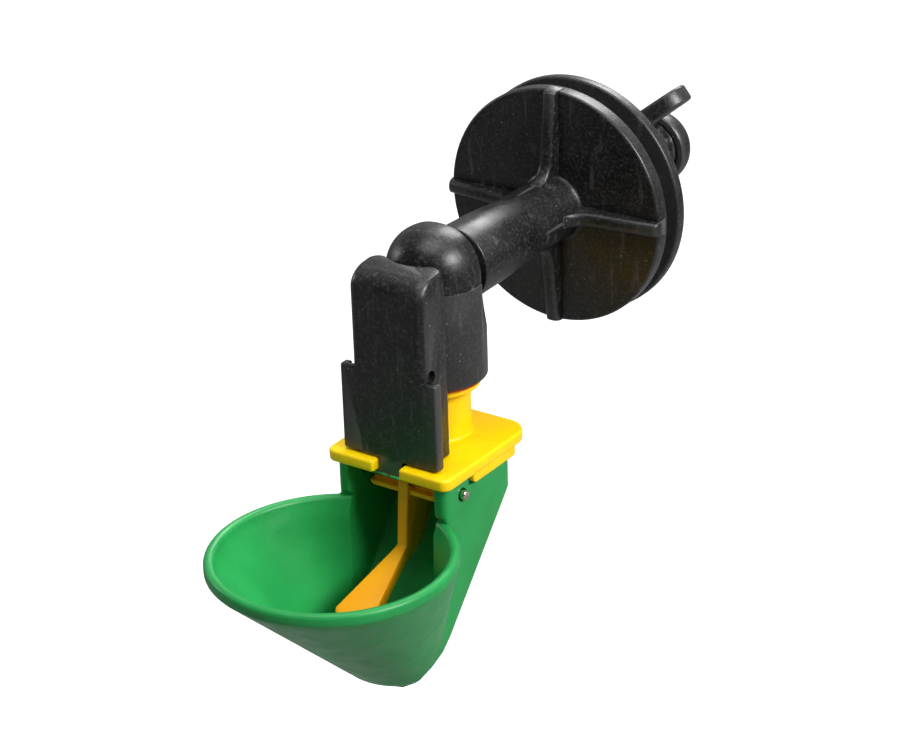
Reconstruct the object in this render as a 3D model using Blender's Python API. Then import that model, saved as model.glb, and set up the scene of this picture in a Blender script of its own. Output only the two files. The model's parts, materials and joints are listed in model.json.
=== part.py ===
"""Poultry drinker: a lever valve and a green cup on a black bracket with a clamp behind it.

Frame: +Z up, -Y towards the birds, +X to the right as seen from the birds' side. The origin is the
middle of the front disc's back face. Lengths are in metres.
"""

from math import acos, asin, atan, atan2, cos, hypot, pi, radians, sin, sqrt, tan

import bmesh
import bpy
from mathutils import Matrix, Vector

MM = 0.001

# Bracket: front disc, four ribs, arm and hollow threaded tail.
DISC_RADIUS = 20.0 * MM
DISC_THICK = 2.8 * MM
DISC_EDGE = 0.5 * MM
RIB_WIDTH = 2.3 * MM
RIB_PROUD = 0.1 * MM
RIB_END_ROUND = 0.45 * MM
RIB_TIP_HEIGHT = 1.3 * MM
RIB_FOOT_HEIGHT = 3.0 * MM
RIB_SWEEP = 3.4 * MM
ARM_END_Y = -31.4 * MM
ARM_END_RADIUS = 6.15 * MM
ARM_NECK_RADIUS = 5.4 * MM
ARM_NECK_Y = -13.0 * MM
ARM_FOOT_RADIUS = 6.0 * MM
ARM_STRAIGHT = 7.0 * MM
SOCKET_DEPTH = 9.8 * MM
TAIL_LENGTH = 31.0 * MM
THREAD_RADIUS = 5.0 * MM
THREAD_DEPTH = 0.8 * MM
THREAD_PITCH = 3.0 * MM
THREAD_RELIEF = 2.6 * MM
WATER_BORE = 2.4 * MM
NIPPLE_RADIUS = 3.0 * MM
NIPPLE_LENGTH = 4.4 * MM

# Clamp: its gap at rest, rear disc, wing nut and hose nut.
CLAMP_GAP = 3.1 * MM
REAR_DISC_PROUD = 0.2 * MM
REAR_DISC_RADIUS = DISC_RADIUS + REAR_DISC_PROUD
REAR_DISC_THICK = 2.1 * MM
HOLE_CLEARANCE = 0.4 * MM
NUT_FLANGE_RADIUS = 9.0 * MM
NUT_FLANGE_THICK = 1.6 * MM
NUT_RADIUS = 7.0 * MM
NUT_LENGTH = 13.0 * MM
WING_THICK = 2.8 * MM
WING_OFFSET = 4.05 * MM
WING_REACH = 21.1 * MM
WING_ANGLE = radians(39.0)
HOSE_NUT_RADIUS = 6.5 * MM
HOSE_NUT_LENGTH = 5.1 * MM
HOSE_NUT_ROUND = 4.6 * MM
HOSE_NUT_GRIP = 2.8 * MM
HOSE_NUT_Y = TAIL_LENGTH - HOSE_NUT_GRIP
HOSE_RADIUS = 4.2 * MM
NUT_CAP_THICK = 1.1 * MM
WASHER_THICK = 1.0 * MM

# Elbow: a domed drop tube with a flat back and a spigot that plugs into the arm.
TUBE_Y = -36.65 * MM
TUBE_RADIUS = 7.8 * MM
TUBE_BORE = 5.85 * MM
TUBE_BOTTOM = -16.2 * MM
DOME_BASE = -0.2 * MM
DOME_CENTRE = 0.8 * MM
DOME_STEP = 0.1 * MM
DOME_FULLNESS = 0.88
SHELL_BACK = -34.3 * MM
SHELL_FOOT = -8.5 * MM
BOSS_BACK = -31.7 * MM
BOSS_RADIUS = 4.9 * MM
SPIGOT_RADIUS = 4.3 * MM
TUBE_STEP = -8.4 * MM
TUBE_PASSAGE = 3.0 * MM
TUBE_PASSAGE_TOP = 3.0 * MM

# Valve body: plate, skirt, neck, collar and spigot.
PLATE_TOP = -26.1 * MM
PLATE_THICK = 2.0 * MM
PLATE_HALF_WIDTH = 11.5 * MM
PLATE_FRONT = -51.7 * MM
PLATE_REAR = -27.9 * MM
PLATE_CORNER = 1.6 * MM
PLATE_REAR_CORNER = 3.8 * MM
PLATE_EDGE = 0.45 * MM
SLOT_HALF_WIDTH = 2.45 * MM
SLOT_DEPTH = 3.8 * MM
SKIRT_DROP = 1.65 * MM
SKIRT_THICK = 1.1 * MM
SKIRT_CORNER = 0.9 * MM
SKIRT_FRONT = -43.9 * MM
SKIRT_REAR = -31.0 * MM
NECK_RADIUS = 5.0 * MM
COLLAR_RADIUS = 6.65 * MM
COLLAR_THICK = 1.1 * MM
BODY_SPIGOT_RADIUS = 5.5 * MM
BODY_SPIGOT_TOP = -9.0 * MM
VALVE_BORE = 3.9 * MM
VALVE_FLOOR = -24.4 * MM
OUTLET_RADIUS = 1.5 * MM
COLLAR_SEAL_THICK = 0.4 * MM
COLLAR_SEAL_INSET = 0.5 * MM
SEAL_GAP = 0.1 * MM

# Valve parts inside the bore.
SEAT_THICK = 1.5 * MM
SEAT_BORE = 1.6 * MM
STEM_RADIUS = 0.8 * MM
STEM_HEAD_RADIUS = 2.9 * MM
STEM_HEAD_THICK = 0.9 * MM
STEM_GUIDE_LENGTH = 4.0 * MM
WASHER_SEAL_THICK = 1.2 * MM
SPRING_RADIUS = 2.2 * MM
SPRING_WIRE = 0.3 * MM
SPRING_TURNS = 5.0
CAP_THICK = 1.5 * MM
STRAINER_THICK = 0.6 * MM
O_RING_WIRE = 0.55 * MM
GROOVE_DEPTH = 0.9 * MM

# Lock block in front of the drop tube.
LOCK_TOP = 4.4 * MM
LOCK_SHOULDER = -11.3 * MM
LOCK_BACK = -43.0 * MM
LOCK_FRONT = -50.2 * MM
LOCK_HALF = 6.9 * MM
LOCK_CORNER = 1.6 * MM
LOCK_BROW = 2.7 * MM
LOCK_TOP_EDGE = 0.7 * MM
LOCK_RISE = 0.7 * MM
LOCK_WING_HALF = 8.95 * MM
LOCK_WING_THICK = 1.8 * MM
LOCK_NOTCH = 1.1 * MM
RECESS_GAP = 0.4 * MM
TONGUE_THICK = 1.5 * MM

# Cup: an oblique cone joined to a housing that carries the pin.
RIM_TOP = -34.4 * MM
RIM_Y = -66.05 * MM
RIM_RADIUS = 19.5 * MM
RIM_INNER = 17.8 * MM
CONE_TOP = -36.5 * MM
CONE_TOP_Y = -66.0 * MM
CONE_RADIUS = 19.3 * MM
CONE_BULGE = 2.1 * MM
APEX_Y = -44.6 * MM
APEX_Z = -74.75 * MM
CUP_WALL = 2.3 * MM
REAR_WALL = 2.0 * MM
CONE_WALL = 2.1 * MM
HOUSING_HALF = 10.4 * MM
HOUSING_REAR = -31.9 * MM
HOUSING_KNEE = -35.2 * MM
HOUSING_TAPER = 0.02
HOUSING_LEAN = 1.2 * MM
REAR_SLOPE = 1.16
HOUSING_CORNER = 2.0 * MM
CREASE_SHARE = 0.995
CORNER_WIDTH_SHARE = 0.35
CORNER_SHARE = 0.08
CORNER_LEAST = 0.15 * MM
KEEL_RADIUS = 3.8 * MM
KEEL_ROUND = 0.6
WALL_EDGE = 1.2 * MM

# Lever and pin.
PIN_Y = -46.0 * MM
PIN_Z = -30.8 * MM
PIN_RADIUS = 0.8 * MM
PIN_PROUD = 0.9 * MM
BARREL_RADIUS = 2.4 * MM
BARREL_HALF = 6.6 * MM
BARREL_FACE = -47.5 * MM
BARREL_LIP = 1.5 * MM
LEVER_HALF = 0.95 * MM
LEVER_FRONT = -47.3 * MM
LEVER_KINK_Y = -48.2 * MM
LEVER_KINK_Z = -41.7 * MM
PADDLE_TIP_Y = -62.2 * MM
PADDLE_TIP_Z = -47.6 * MM
PADDLE_HALF = 3.5 * MM
PADDLE_THICK = 2.5 * MM
WEB_BACK = -41.0 * MM
WEB_FOOT_Z = -43.8 * MM
TAIL_ARM_THICK = 1.8 * MM

# Clearances between pieces.
GAP = 0.3 * MM
FINE = 48
ROUND = 32
THREAD_SIDES = 24
SMALL = 20
ARC_STEPS = 20
CONE_RINGS = 5


def clear_scene():
    for obj in list(bpy.data.objects):
        bpy.data.objects.remove(obj)


def material(name, colour, roughness, metallic=0.0):
    made = bpy.data.materials.new(name)
    made.use_nodes = True
    shader = made.node_tree.nodes["Principled BSDF"]
    shader.inputs["Base Color"].default_value = (*colour, 1.0)
    shader.inputs["Roughness"].default_value = roughness
    shader.inputs["Metallic"].default_value = metallic
    return made


def new_object(name, bm, finish=None):
    """Closes a bmesh into an object, faces out."""
    bmesh.ops.recalc_face_normals(bm, faces=bm.faces)
    mesh = bpy.data.meshes.new(name)
    bm.to_mesh(mesh)
    bm.free()
    mesh.shade_smooth()
    mesh.set_sharp_from_angle(angle=radians(35))
    obj = bpy.data.objects.new(name, mesh)
    bpy.context.scene.collection.objects.link(obj)
    if finish:
        mesh.materials.append(finish)
    return obj


def helper(obj):
    """Marks an object as a tool of a Boolean, not a piece."""
    obj.hide_render = True
    obj.display_type = "WIRE"
    return obj


def boolean(obj, tool, operation):
    change = obj.modifiers.new(f"{operation} {tool.name}".title(), "BOOLEAN")
    change.operation = operation
    change.object = helper(tool)
    change.solver = "EXACT"


def cut(obj, tool):
    boolean(obj, tool, "DIFFERENCE")


def join(obj, tool):
    boolean(obj, tool, "UNION")


def hang_on(obj, pivot):
    """Moves an object's origin to a joint's empty and parents it there, with its shape in place."""
    where = pivot.location
    obj.data.transform(Matrix.Translation(-where))
    obj.parent = pivot


def pivot(name, place):
    empty = bpy.data.objects.new(name, None)
    empty.location = place
    empty.empty_display_size = 4 * MM
    bpy.context.scene.collection.objects.link(empty)
    return empty


def arc(across, along, radius, start, end, steps):
    """Points of an arc in a profile's own plane, angles in degrees."""
    turn = [radians(start + (end - start) * i / steps) for i in range(steps + 1)]
    return [(across + radius * cos(a), along + radius * sin(a)) for a in turn]


def upright(radius, angle, height):
    return Vector((radius * cos(angle), radius * sin(angle), height))


def lengthwise(radius, angle, height):
    return Vector((radius * cos(angle), height, radius * sin(angle)))


def crosswise(radius, angle, height):
    return Vector((height, radius * cos(angle), radius * sin(angle)))


def loft(rings, looped):
    """A bmesh through rings of points. A looped loft closes on itself, another gets end caps."""
    bm = bmesh.new()
    rows = [[bm.verts.new(point) for point in ring] for ring in rings]
    count = len(rows[0])
    spans = len(rows) if looped else len(rows) - 1
    for i in range(spans):
        low, high = rows[i], rows[(i + 1) % len(rows)]
        for k in range(count):
            after = (k + 1) % count
            bm.faces.new((low[k], low[after], high[after], high[k]))
    if not looped:
        bm.faces.new(rows[0])
        bm.faces.new(rows[-1])
    return bm


def turned(name, profile, centre, axis, steps, finish=None, looped=False):
    """A turned solid from (radius, height) points. A looped profile leaves its bore open."""
    turns = [2 * pi * k / steps for k in range(steps)]
    place = Vector(centre)
    rings = [[place + axis(radius, angle, height) for angle in turns] for radius, height in profile]
    return new_object(name, loft(rings, looped), finish)


def rod(name, radius, low, high, centre, axis, steps, finish=None):
    return turned(name, [(radius, low), (radius, high)], centre, axis, steps, finish)


def ring(name, inner, outer, low, high, centre, axis, steps, finish=None):
    profile = [(inner, low), (outer, low), (outer, high), (inner, high)]
    return turned(name, profile, centre, axis, steps, finish, looped=True)


def o_ring(name, radius, wire, height, centre, axis, finish):
    profile = arc(radius, height, wire, 0, 300, 5)
    return turned(name, profile, centre, axis, SMALL, finish, looped=True)


def prism(name, outline, depth, place, finish=None):
    """A flat outline swept over a depth: place(u, v, w) turns outline and depth into a point."""
    rings = [[place(u, v, w) for u, v in outline] for w in depth]
    return new_object(name, loft(rings, False), finish)


def box(name, low, high, finish=None):
    outline = [(low[0], low[1]), (high[0], low[1]), (high[0], high[1]), (low[0], high[1])]
    return prism(name, outline, (low[2], high[2]), lambda x, y, z: Vector((x, y, z)), finish)


def soften(obj, width, segments=2):
    bevel = obj.modifiers.new("Bevel", "BEVEL")
    bevel.width = width
    bevel.segments = segments
    bevel.limit_method = "ANGLE"
    bevel.angle_limit = radians(40)
    bevel.use_clamp_overlap = True


def thread_height(along, angle, start, end):
    """How far a thread stands above its root, from 0 to 1, faded out at both ends of its run."""
    phase = (along / THREAD_PITCH - angle / (2 * pi)) % 1.0
    crest = min(1.0, max(0.0, 2.0 - 5.0 * abs(phase - 0.5)))
    fade = min(along - start, end - along) / (THREAD_PITCH / 3)
    return crest * min(1.0, max(0.0, fade))


def threaded_rings(start, end, run_start, run_end, root, depth, steps):
    """Rings of a threaded surface along Y."""
    rows = round((end - start) / (THREAD_PITCH / 5))
    rings = []
    for i in range(rows + 1):
        along = start + (end - start) * i / rows
        turns = [2 * pi * k / steps for k in range(steps)]
        rings.append(
            [
                lengthwise(root + depth * thread_height(along, a, run_start, run_end), a, along)
                for a in turns
            ]
        )
    return rings


def rib_height(reach):
    """A rib's height over the disc at a distance from the arm's axis: a slope, then a sweep up the arm."""
    share = (DISC_RADIUS - reach) / (DISC_RADIUS - ARM_NECK_RADIUS)
    height = RIB_TIP_HEIGHT + (RIB_FOOT_HEIGHT - RIB_TIP_HEIGHT) * share
    into = ARM_NECK_RADIUS + RIB_SWEEP - reach
    if into > 0:
        height += RIB_SWEEP - sqrt(max(0.0, RIB_SWEEP**2 - into**2))
    return height


def rib(name, angle):
    """One rounded rib from inside the arm to just past the disc's rim."""
    neck, end = ARM_NECK_RADIUS, DISC_RADIUS + RIB_PROUD
    half = RIB_WIDTH / 2
    sweep = [neck + RIB_SWEEP * share for share in (0.02, 0.12, 0.3, 0.6, 1.0)]
    rings = []
    for reach in [neck - 2 * MM] + sweep + [(sweep[-1] + end) / 2, end - RIB_END_ROUND, end]:
        top = -DISC_THICK - rib_height(max(reach, sweep[0])) + (RIB_TIP_HEIGHT * 0.7 if reach == end else 0.0)
        foot = -DISC_THICK / 3
        crown = [(half * cos(a), top + 0.8 * half - 0.8 * half * sin(a)) for a in (0, pi / 4, pi / 2)]
        side = [(half, foot)] + crown + [(-x, y) for x, y in crown[-2::-1]] + [(-half, foot)]
        turn = Matrix.Rotation(-angle, 4, "Y")
        rings.append([turn @ Vector((reach, y, x)) for x, y in side])
    return new_object(name, loft(rings, False))


def bracket_body(finish):
    """Front disc with its ribs, the arm and the hollow threaded tail, in one moulding."""
    profile = [
        (ARM_END_RADIUS - 0.2 * MM, ARM_END_Y),
        (ARM_END_RADIUS, ARM_END_Y + 0.3 * MM),
        (ARM_END_RADIUS - 0.15 * MM, ARM_END_Y + ARM_STRAIGHT),
        (ARM_NECK_RADIUS, ARM_NECK_Y),
        (ARM_NECK_RADIUS, -DISC_THICK - 1.2 * MM),
        (ARM_FOOT_RADIUS, -DISC_THICK),
        (DISC_RADIUS - DISC_EDGE, -DISC_THICK),
        (DISC_RADIUS, -DISC_THICK + DISC_EDGE),
        (DISC_RADIUS, -DISC_EDGE),
        (DISC_RADIUS - DISC_EDGE, 0.0),
    ]
    body = turned("bracket_body", profile, (0, 0, 0), lengthwise, FINE, finish)
    for k in range(4):
        join(body, rib(f"rib {k}", k * pi / 2))
    root = THREAD_RADIUS - THREAD_DEPTH
    run = (THREAD_RELIEF, TAIL_LENGTH - MM)
    rings = threaded_rings(-MM, TAIL_LENGTH, *run, root, THREAD_DEPTH, THREAD_SIDES)
    tip = TAIL_LENGTH + NIPPLE_LENGTH
    for radius, along in ((NIPPLE_RADIUS, TAIL_LENGTH), (NIPPLE_RADIUS, tip - MM), (NIPPLE_RADIUS - 0.4 * MM, tip)):
        rings.append([lengthwise(radius, 2 * pi * k / (THREAD_SIDES), along) for k in range(THREAD_SIDES)])
    join(body, new_object("tail", loft(rings, False)))
    socket = SPIGOT_RADIUS + GAP
    bottom = ARM_END_Y + SOCKET_DEPTH
    bore = [
        (socket, ARM_END_Y - MM),
        (socket, bottom),
        (WATER_BORE, bottom + 1.5 * MM),
        (WATER_BORE, tip + MM),
    ]
    cut(body, turned("waterway", bore, (0, 0, 0), lengthwise, ROUND))
    return body


def clamp_disc(finish):
    """The loose rear disc that the wing nut pulls forwards."""
    front, back = CLAMP_GAP, CLAMP_GAP + REAR_DISC_THICK
    hole = THREAD_RADIUS + HOLE_CLEARANCE
    edge = DISC_EDGE
    profile = [
        (hole, front),
        (REAR_DISC_RADIUS - edge, front),
        (REAR_DISC_RADIUS, front + edge),
        (REAR_DISC_RADIUS, back - edge),
        (REAR_DISC_RADIUS - edge, back),
        (hole, back),
    ]
    return turned("clamp_disc", profile, (0, 0, 0), lengthwise, FINE, finish, looped=True)


def wing(name, side):
    """A flat wing with a round tip, set beside the nut's axis like a propeller blade."""
    root_y = CLAMP_GAP + REAR_DISC_THICK + GAP + NUT_FLANGE_THICK - 0.5 * MM
    far_y = root_y + NUT_LENGTH - NUT_FLANGE_THICK - 0.5 * MM
    tip_radius = 4.0 * MM
    reach = WING_REACH - tip_radius
    outline = [(0.0, root_y), (NUT_RADIUS, root_y + 0.5 * MM)]
    outline += arc(reach, far_y - tip_radius + 2 * MM, tip_radius, -60, 90, 6)
    outline += [(NUT_RADIUS, far_y), (0.0, far_y)]
    along = Vector((cos(WING_ANGLE), 0, sin(WING_ANGLE))) * side
    across = Vector((-sin(WING_ANGLE), 0, cos(WING_ANGLE))) * side

    def place(u, v, w):
        return along * u + across * w + Vector((0, v, 0))

    middle = WING_OFFSET
    depth = (middle - WING_THICK / 2, middle + WING_THICK / 2)
    blade = prism(name, outline, depth, place)
    soften(blade, 0.5 * MM)
    return blade


def wing_nut(finish):
    face = CLAMP_GAP + REAR_DISC_THICK + GAP
    back = face + NUT_LENGTH
    edge = 0.4 * MM
    profile = [
        (NUT_FLANGE_RADIUS - edge, face),
        (NUT_FLANGE_RADIUS, face + edge),
        (NUT_FLANGE_RADIUS, face + NUT_FLANGE_THICK),
        (NUT_RADIUS, face + NUT_FLANGE_THICK + 0.6 * MM),
        (NUT_RADIUS, back - 2 * edge),
        (NUT_RADIUS - 2 * edge, back),
    ]
    nut = turned("wing_nut", profile, (0, 0, 0), lengthwise, ROUND, finish)
    for side in (1, -1):
        join(nut, wing(f"wing {side}", side))
    cut(nut, thread_cutter("nut thread", face, back, THREAD_SIDES))
    return nut


def thread_cutter(name, low, high, steps):
    """The tail's thread with its clearance, as a tool for a nut between two heights."""
    root = THREAD_RADIUS - THREAD_DEPTH + GAP
    rings = threaded_rings(low - MM, high + MM, -TAIL_LENGTH, 2 * TAIL_LENGTH, root, THREAD_DEPTH, steps)
    return new_object(name, loft(rings, False))


def hose_nut(finish):
    """The round nut at the tail's end that holds the hose on its nipple."""
    front, back = HOSE_NUT_Y, HOSE_NUT_Y + HOSE_NUT_LENGTH
    turn = HOSE_NUT_ROUND
    profile = [(HOSE_NUT_RADIUS - 0.2 * MM, front), (HOSE_NUT_RADIUS, front + 0.3 * MM)]
    profile += arc(HOSE_NUT_RADIUS - turn, back - turn * sin(radians(55)), turn, 0, 55, 5)
    nut = turned("hose_nut", profile, (0, 0, 0), lengthwise, ROUND, finish)
    inside = back - NUT_CAP_THICK
    bore = [
        (THREAD_RADIUS + GAP, front - MM),
        (THREAD_RADIUS + GAP, inside),
        (HOSE_RADIUS, inside),
        (HOSE_RADIUS, back + MM),
    ]
    cut(nut, turned("hose nut bore", bore, (0, 0, 0), lengthwise, ROUND))
    return nut


def hose_washer(finish):
    """The rubber washer between the tail's end and the hose nut's shoulder."""
    start = TAIL_LENGTH + SEAL_GAP
    inner, outer = NIPPLE_RADIUS + 0.2 * MM, THREAD_RADIUS
    return ring("hose_washer", inner, outer, start, start + WASHER_THICK, (0, 0, 0), lengthwise, ROUND, finish)


def elbow(finish):
    """The domed drop tube with a narrower boss behind it and the spigot that plugs into the arm."""
    here = (0, TUBE_Y, 0)
    dome = TUBE_RADIUS - DOME_STEP
    profile = [(TUBE_RADIUS - 0.3 * MM, TUBE_BOTTOM), (TUBE_RADIUS, TUBE_BOTTOM + 0.3 * MM)]
    profile += [(TUBE_RADIUS, DOME_BASE), (dome, DOME_BASE + 0.05 * MM)]
    for x, z in arc(0, 0, 1.0, 0, 84, 9):
        profile.append((dome * x**DOME_FULLNESS, DOME_CENTRE + dome * z**DOME_FULLNESS))
    body = turned("elbow", profile, here, upright, ROUND + 8, finish)
    far = 12 * MM
    rear = [
        (SHELL_BACK, far),
        (SHELL_BACK, DOME_BASE),
        (SHELL_BACK + 0.9 * MM, -5 * MM),
        (SHELL_BACK + 2.6 * MM, SHELL_FOOT),
        (SHELL_BACK + far, SHELL_FOOT),
        (SHELL_BACK + far, far),
    ]
    cut(body, prism("shell back", rear, (-far, far), lambda u, v, w: Vector((w, u, v))))
    outline = arc(0, DOME_CENTRE, BOSS_RADIUS, 0, 180, 16)
    outline += [(-BOSS_RADIUS, SHELL_FOOT - 0.2 * MM), (BOSS_RADIUS, SHELL_FOOT - 0.2 * MM)]
    join(body, prism("boss", outline, (TUBE_Y, BOSS_BACK), lambda u, v, w: Vector((u, w, v))))
    end = ARM_END_Y + SOCKET_DEPTH - GAP
    seal = seal_y()
    groove = SPIGOT_RADIUS - GROOVE_DEPTH
    slot = O_RING_WIRE + SEAL_GAP
    spigot = [
        (SPIGOT_RADIUS, BOSS_BACK - 0.2 * MM),
        (SPIGOT_RADIUS, seal - slot),
        (groove, seal - slot),
        (groove, seal + slot),
        (SPIGOT_RADIUS, seal + slot),
        (SPIGOT_RADIUS, end - 0.5 * MM),
        (SPIGOT_RADIUS - 0.5 * MM, end),
    ]
    join(body, turned("elbow spigot", spigot, (0, 0, 0), lengthwise, ROUND))
    down = [
        (TUBE_BORE, TUBE_BOTTOM - MM),
        (TUBE_BORE, TUBE_STEP),
        (TUBE_PASSAGE, TUBE_STEP),
        (TUBE_PASSAGE, TUBE_PASSAGE_TOP - MM),
        (TUBE_PASSAGE / 3, TUBE_PASSAGE_TOP),
    ]
    cut(body, turned("drop bore", down, here, upright, ROUND))
    cut(body, rod("arm bore", WATER_BORE, TUBE_Y, end + MM, (0, 0, 0), lengthwise, SMALL))
    return body


def seal_y():
    """Where the elbow's seal sits along the arm."""
    return ARM_END_Y + SOCKET_DEPTH - 3.0 * MM


def elbow_seal(finish):
    radius = SPIGOT_RADIUS - GROOVE_DEPTH + O_RING_WIRE + SEAL_GAP
    return o_ring("elbow_seal", radius, O_RING_WIRE, seal_y(), (0, 0, 0), lengthwise, finish)


def collar_top():
    return TUBE_BOTTOM - COLLAR_SEAL_THICK - 2 * SEAL_GAP


def collar_seal(finish):
    """The flat red ring between the elbow's rim and the valve body's collar."""
    low = collar_top() + SEAL_GAP
    inner, outer = BODY_SPIGOT_RADIUS + 0.2 * MM, TUBE_RADIUS - COLLAR_SEAL_INSET
    here = (0, TUBE_Y, 0)
    return ring("collar_seal", inner, outer, low, low + COLLAR_SEAL_THICK, here, upright, ROUND, finish)


def spigot_seal_z():
    return (BODY_SPIGOT_TOP + collar_top()) / 2


def spigot_seal(finish):
    radius = BODY_SPIGOT_RADIUS - GROOVE_DEPTH + O_RING_WIRE + SEAL_GAP
    here = (0, TUBE_Y, 0)
    return o_ring("spigot_seal", radius, O_RING_WIRE, spigot_seal_z(), here, upright, finish)


def plate_outline():
    """The plate's outline: small front corners and large rear ones."""
    half, front, rear = PLATE_HALF_WIDTH, PLATE_FRONT, PLATE_REAR
    big, small = PLATE_REAR_CORNER, PLATE_CORNER
    right = arc(half - small, front + small, small, 270, 360, 4)
    right += arc(half - big, rear - big, big, 0, 90, 6)
    return right + [(-x, y) for x, y in reversed(right)]


def skirt_outline(half, rear, front):
    """Half of the U that the skirt follows round the cup's housing."""
    corner = HOUSING_CORNER
    back = arc(half - corner, rear - corner, corner, 0, 90, 4)
    right = [(half, front)] + back
    return right + [(-x, y) for x, y in reversed(right)]


def skirt_corner(low, steps):
    """What is cut away to round the skirt's lower front corners."""
    front, far = SKIRT_FRONT, PLATE_HALF_WIDTH + MM
    outline = [(front - MM, low + SKIRT_CORNER), (front - MM, low - MM), (front + SKIRT_CORNER, low - MM)]
    outline += arc(front + SKIRT_CORNER, low + SKIRT_CORNER, SKIRT_CORNER, 270, 180, steps)
    return prism("skirt corner", outline, (-far, far), lambda u, v, w: Vector((w, u, v)))


def valve_body(finish):
    """The yellow valve body: slotted plate, skirt, neck, collar and spigot, bored for the valve."""
    here = (0, TUBE_Y, 0)
    bottom = PLATE_TOP - PLATE_THICK
    upper = lambda x, y, z: Vector((x, y, z))
    body = prism("valve_body", plate_outline(), (bottom, PLATE_TOP), upper, finish)
    slot_back = PLATE_FRONT + SLOT_DEPTH
    far = PLATE_FRONT - 2 * MM
    cut(body, box("slot", (-SLOT_HALF_WIDTH, far, bottom - MM), (SLOT_HALF_WIDTH, slot_back, PLATE_TOP + MM)))
    soften(body, PLATE_EDGE)
    outer = skirt_outline(PLATE_HALF_WIDTH - 0.25 * MM, SKIRT_REAR, SKIRT_FRONT)
    inner = skirt_outline(PLATE_HALF_WIDTH - SKIRT_THICK, SKIRT_REAR - SKIRT_THICK, SKIRT_FRONT - 2 * MM)
    skirt = prism("skirt", outer, (bottom - SKIRT_DROP, bottom + MM), upper)
    cut(skirt, skirt_corner(bottom - SKIRT_DROP, 4))
    cut(skirt, prism("skirt inside", inner, (bottom - 2 * SKIRT_DROP, bottom), upper))
    join(body, skirt)
    top = collar_top()
    low = top - COLLAR_THICK
    groove = BODY_SPIGOT_RADIUS - GROOVE_DEPTH
    slot = O_RING_WIRE + SEAL_GAP
    seal = spigot_seal_z()
    tower = [
        (NECK_RADIUS + 0.3 * MM, PLATE_TOP - MM),
        (NECK_RADIUS, PLATE_TOP + 0.4 * MM),
        (NECK_RADIUS, low - 0.8 * MM),
        (COLLAR_RADIUS - 0.3 * MM, low),
        (COLLAR_RADIUS, low + 0.3 * MM),
        (COLLAR_RADIUS, top),
        (BODY_SPIGOT_RADIUS, top),
        (BODY_SPIGOT_RADIUS, seal - slot),
        (groove, seal - slot),
        (groove, seal + slot),
        (BODY_SPIGOT_RADIUS, seal + slot),
        (BODY_SPIGOT_RADIUS, BODY_SPIGOT_TOP - 0.4 * MM),
        (BODY_SPIGOT_RADIUS - 0.4 * MM, BODY_SPIGOT_TOP),
    ]
    join(body, turned("tower", tower, here, upright, ROUND))
    bore = [
        (OUTLET_RADIUS, bottom - SKIRT_DROP - MM),
        (OUTLET_RADIUS, VALVE_FLOOR),
        (VALVE_BORE, VALVE_FLOOR),
        (VALVE_BORE, BODY_SPIGOT_TOP + MM),
    ]
    cut(body, turned("valve bore", bore, here, upright, ROUND))
    return body


def seat_top():
    return VALVE_FLOOR + SEAL_GAP + SEAT_THICK


def valve_seat(finish):
    here = (0, TUBE_Y, 0)
    low = VALVE_FLOOR + SEAL_GAP
    return ring("valve_seat", SEAT_BORE, VALVE_BORE - SEAL_GAP, low, seat_top(), here, upright, ROUND, finish)


def valve_seal(finish):
    """The rubber washer under the stem's head."""
    here = (0, TUBE_Y, 0)
    low = seat_top() + SEAL_GAP
    inner = STEM_RADIUS + SEAL_GAP
    return ring("valve_seal", inner, STEM_HEAD_RADIUS, low, low + WASHER_SEAL_THICK, here, upright, SMALL, finish)


def stem_head():
    return seat_top() + 2 * SEAL_GAP + WASHER_SEAL_THICK


def valve_stem(finish):
    """The stem: its foot stands over the lever's tail, its head carries the rubber washer."""
    head = stem_head()
    foot = tail_arm_top() + GAP
    guide = STEM_RADIUS + 0.4 * MM
    profile = [
        (STEM_RADIUS - 0.2 * MM, foot),
        (STEM_RADIUS, foot + 0.3 * MM),
        (STEM_RADIUS, head),
        (STEM_HEAD_RADIUS, head),
        (STEM_HEAD_RADIUS, head + STEM_HEAD_THICK),
        (guide, head + STEM_HEAD_THICK),
        (guide, head + STEM_HEAD_THICK + STEM_GUIDE_LENGTH),
    ]
    return turned("valve_stem", profile, (0, TUBE_Y, 0), upright, SMALL, finish)


def cap_bottom():
    return BODY_SPIGOT_TOP - STRAINER_THICK - CAP_THICK - 0.5 * MM


def valve_spring(finish):
    """The spring between the stem's head and the spring cap, one unbroken wire with closed end turns."""
    low = stem_head() + STEM_HEAD_THICK + SPRING_WIRE + SEAL_GAP
    high = cap_bottom() - SPRING_WIRE - SEAL_GAP
    end_turn = 1.0
    closed_rise = 2.6 * SPRING_WIRE
    total = SPRING_TURNS + 2 * end_turn
    steps = round(total * 10)
    points = []
    for i in range(steps + 1):
        turn = total * i / steps
        if turn < end_turn:
            height = low + closed_rise * turn / end_turn
        elif turn > total - end_turn:
            height = high - closed_rise * (total - turn) / end_turn
        else:
            share = (turn - end_turn) / SPRING_TURNS
            height = low + closed_rise + (high - low - 2 * closed_rise) * share
        points.append(Vector((0, TUBE_Y, 0)) + upright(SPRING_RADIUS, 2 * pi * turn, height))
    curve = bpy.data.curves.new("valve_spring", "CURVE")
    curve.dimensions = "3D"
    curve.bevel_depth = SPRING_WIRE
    curve.bevel_resolution = 1
    curve.use_fill_caps = True
    spline = curve.splines.new("POLY")
    spline.points.add(len(points) - 1)
    for point, place in zip(spline.points, points):
        point.co = (*place, 1.0)
    spring = bpy.data.objects.new("valve_spring", curve)
    bpy.context.scene.collection.objects.link(spring)
    curve.materials.append(finish)
    return spring


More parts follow.
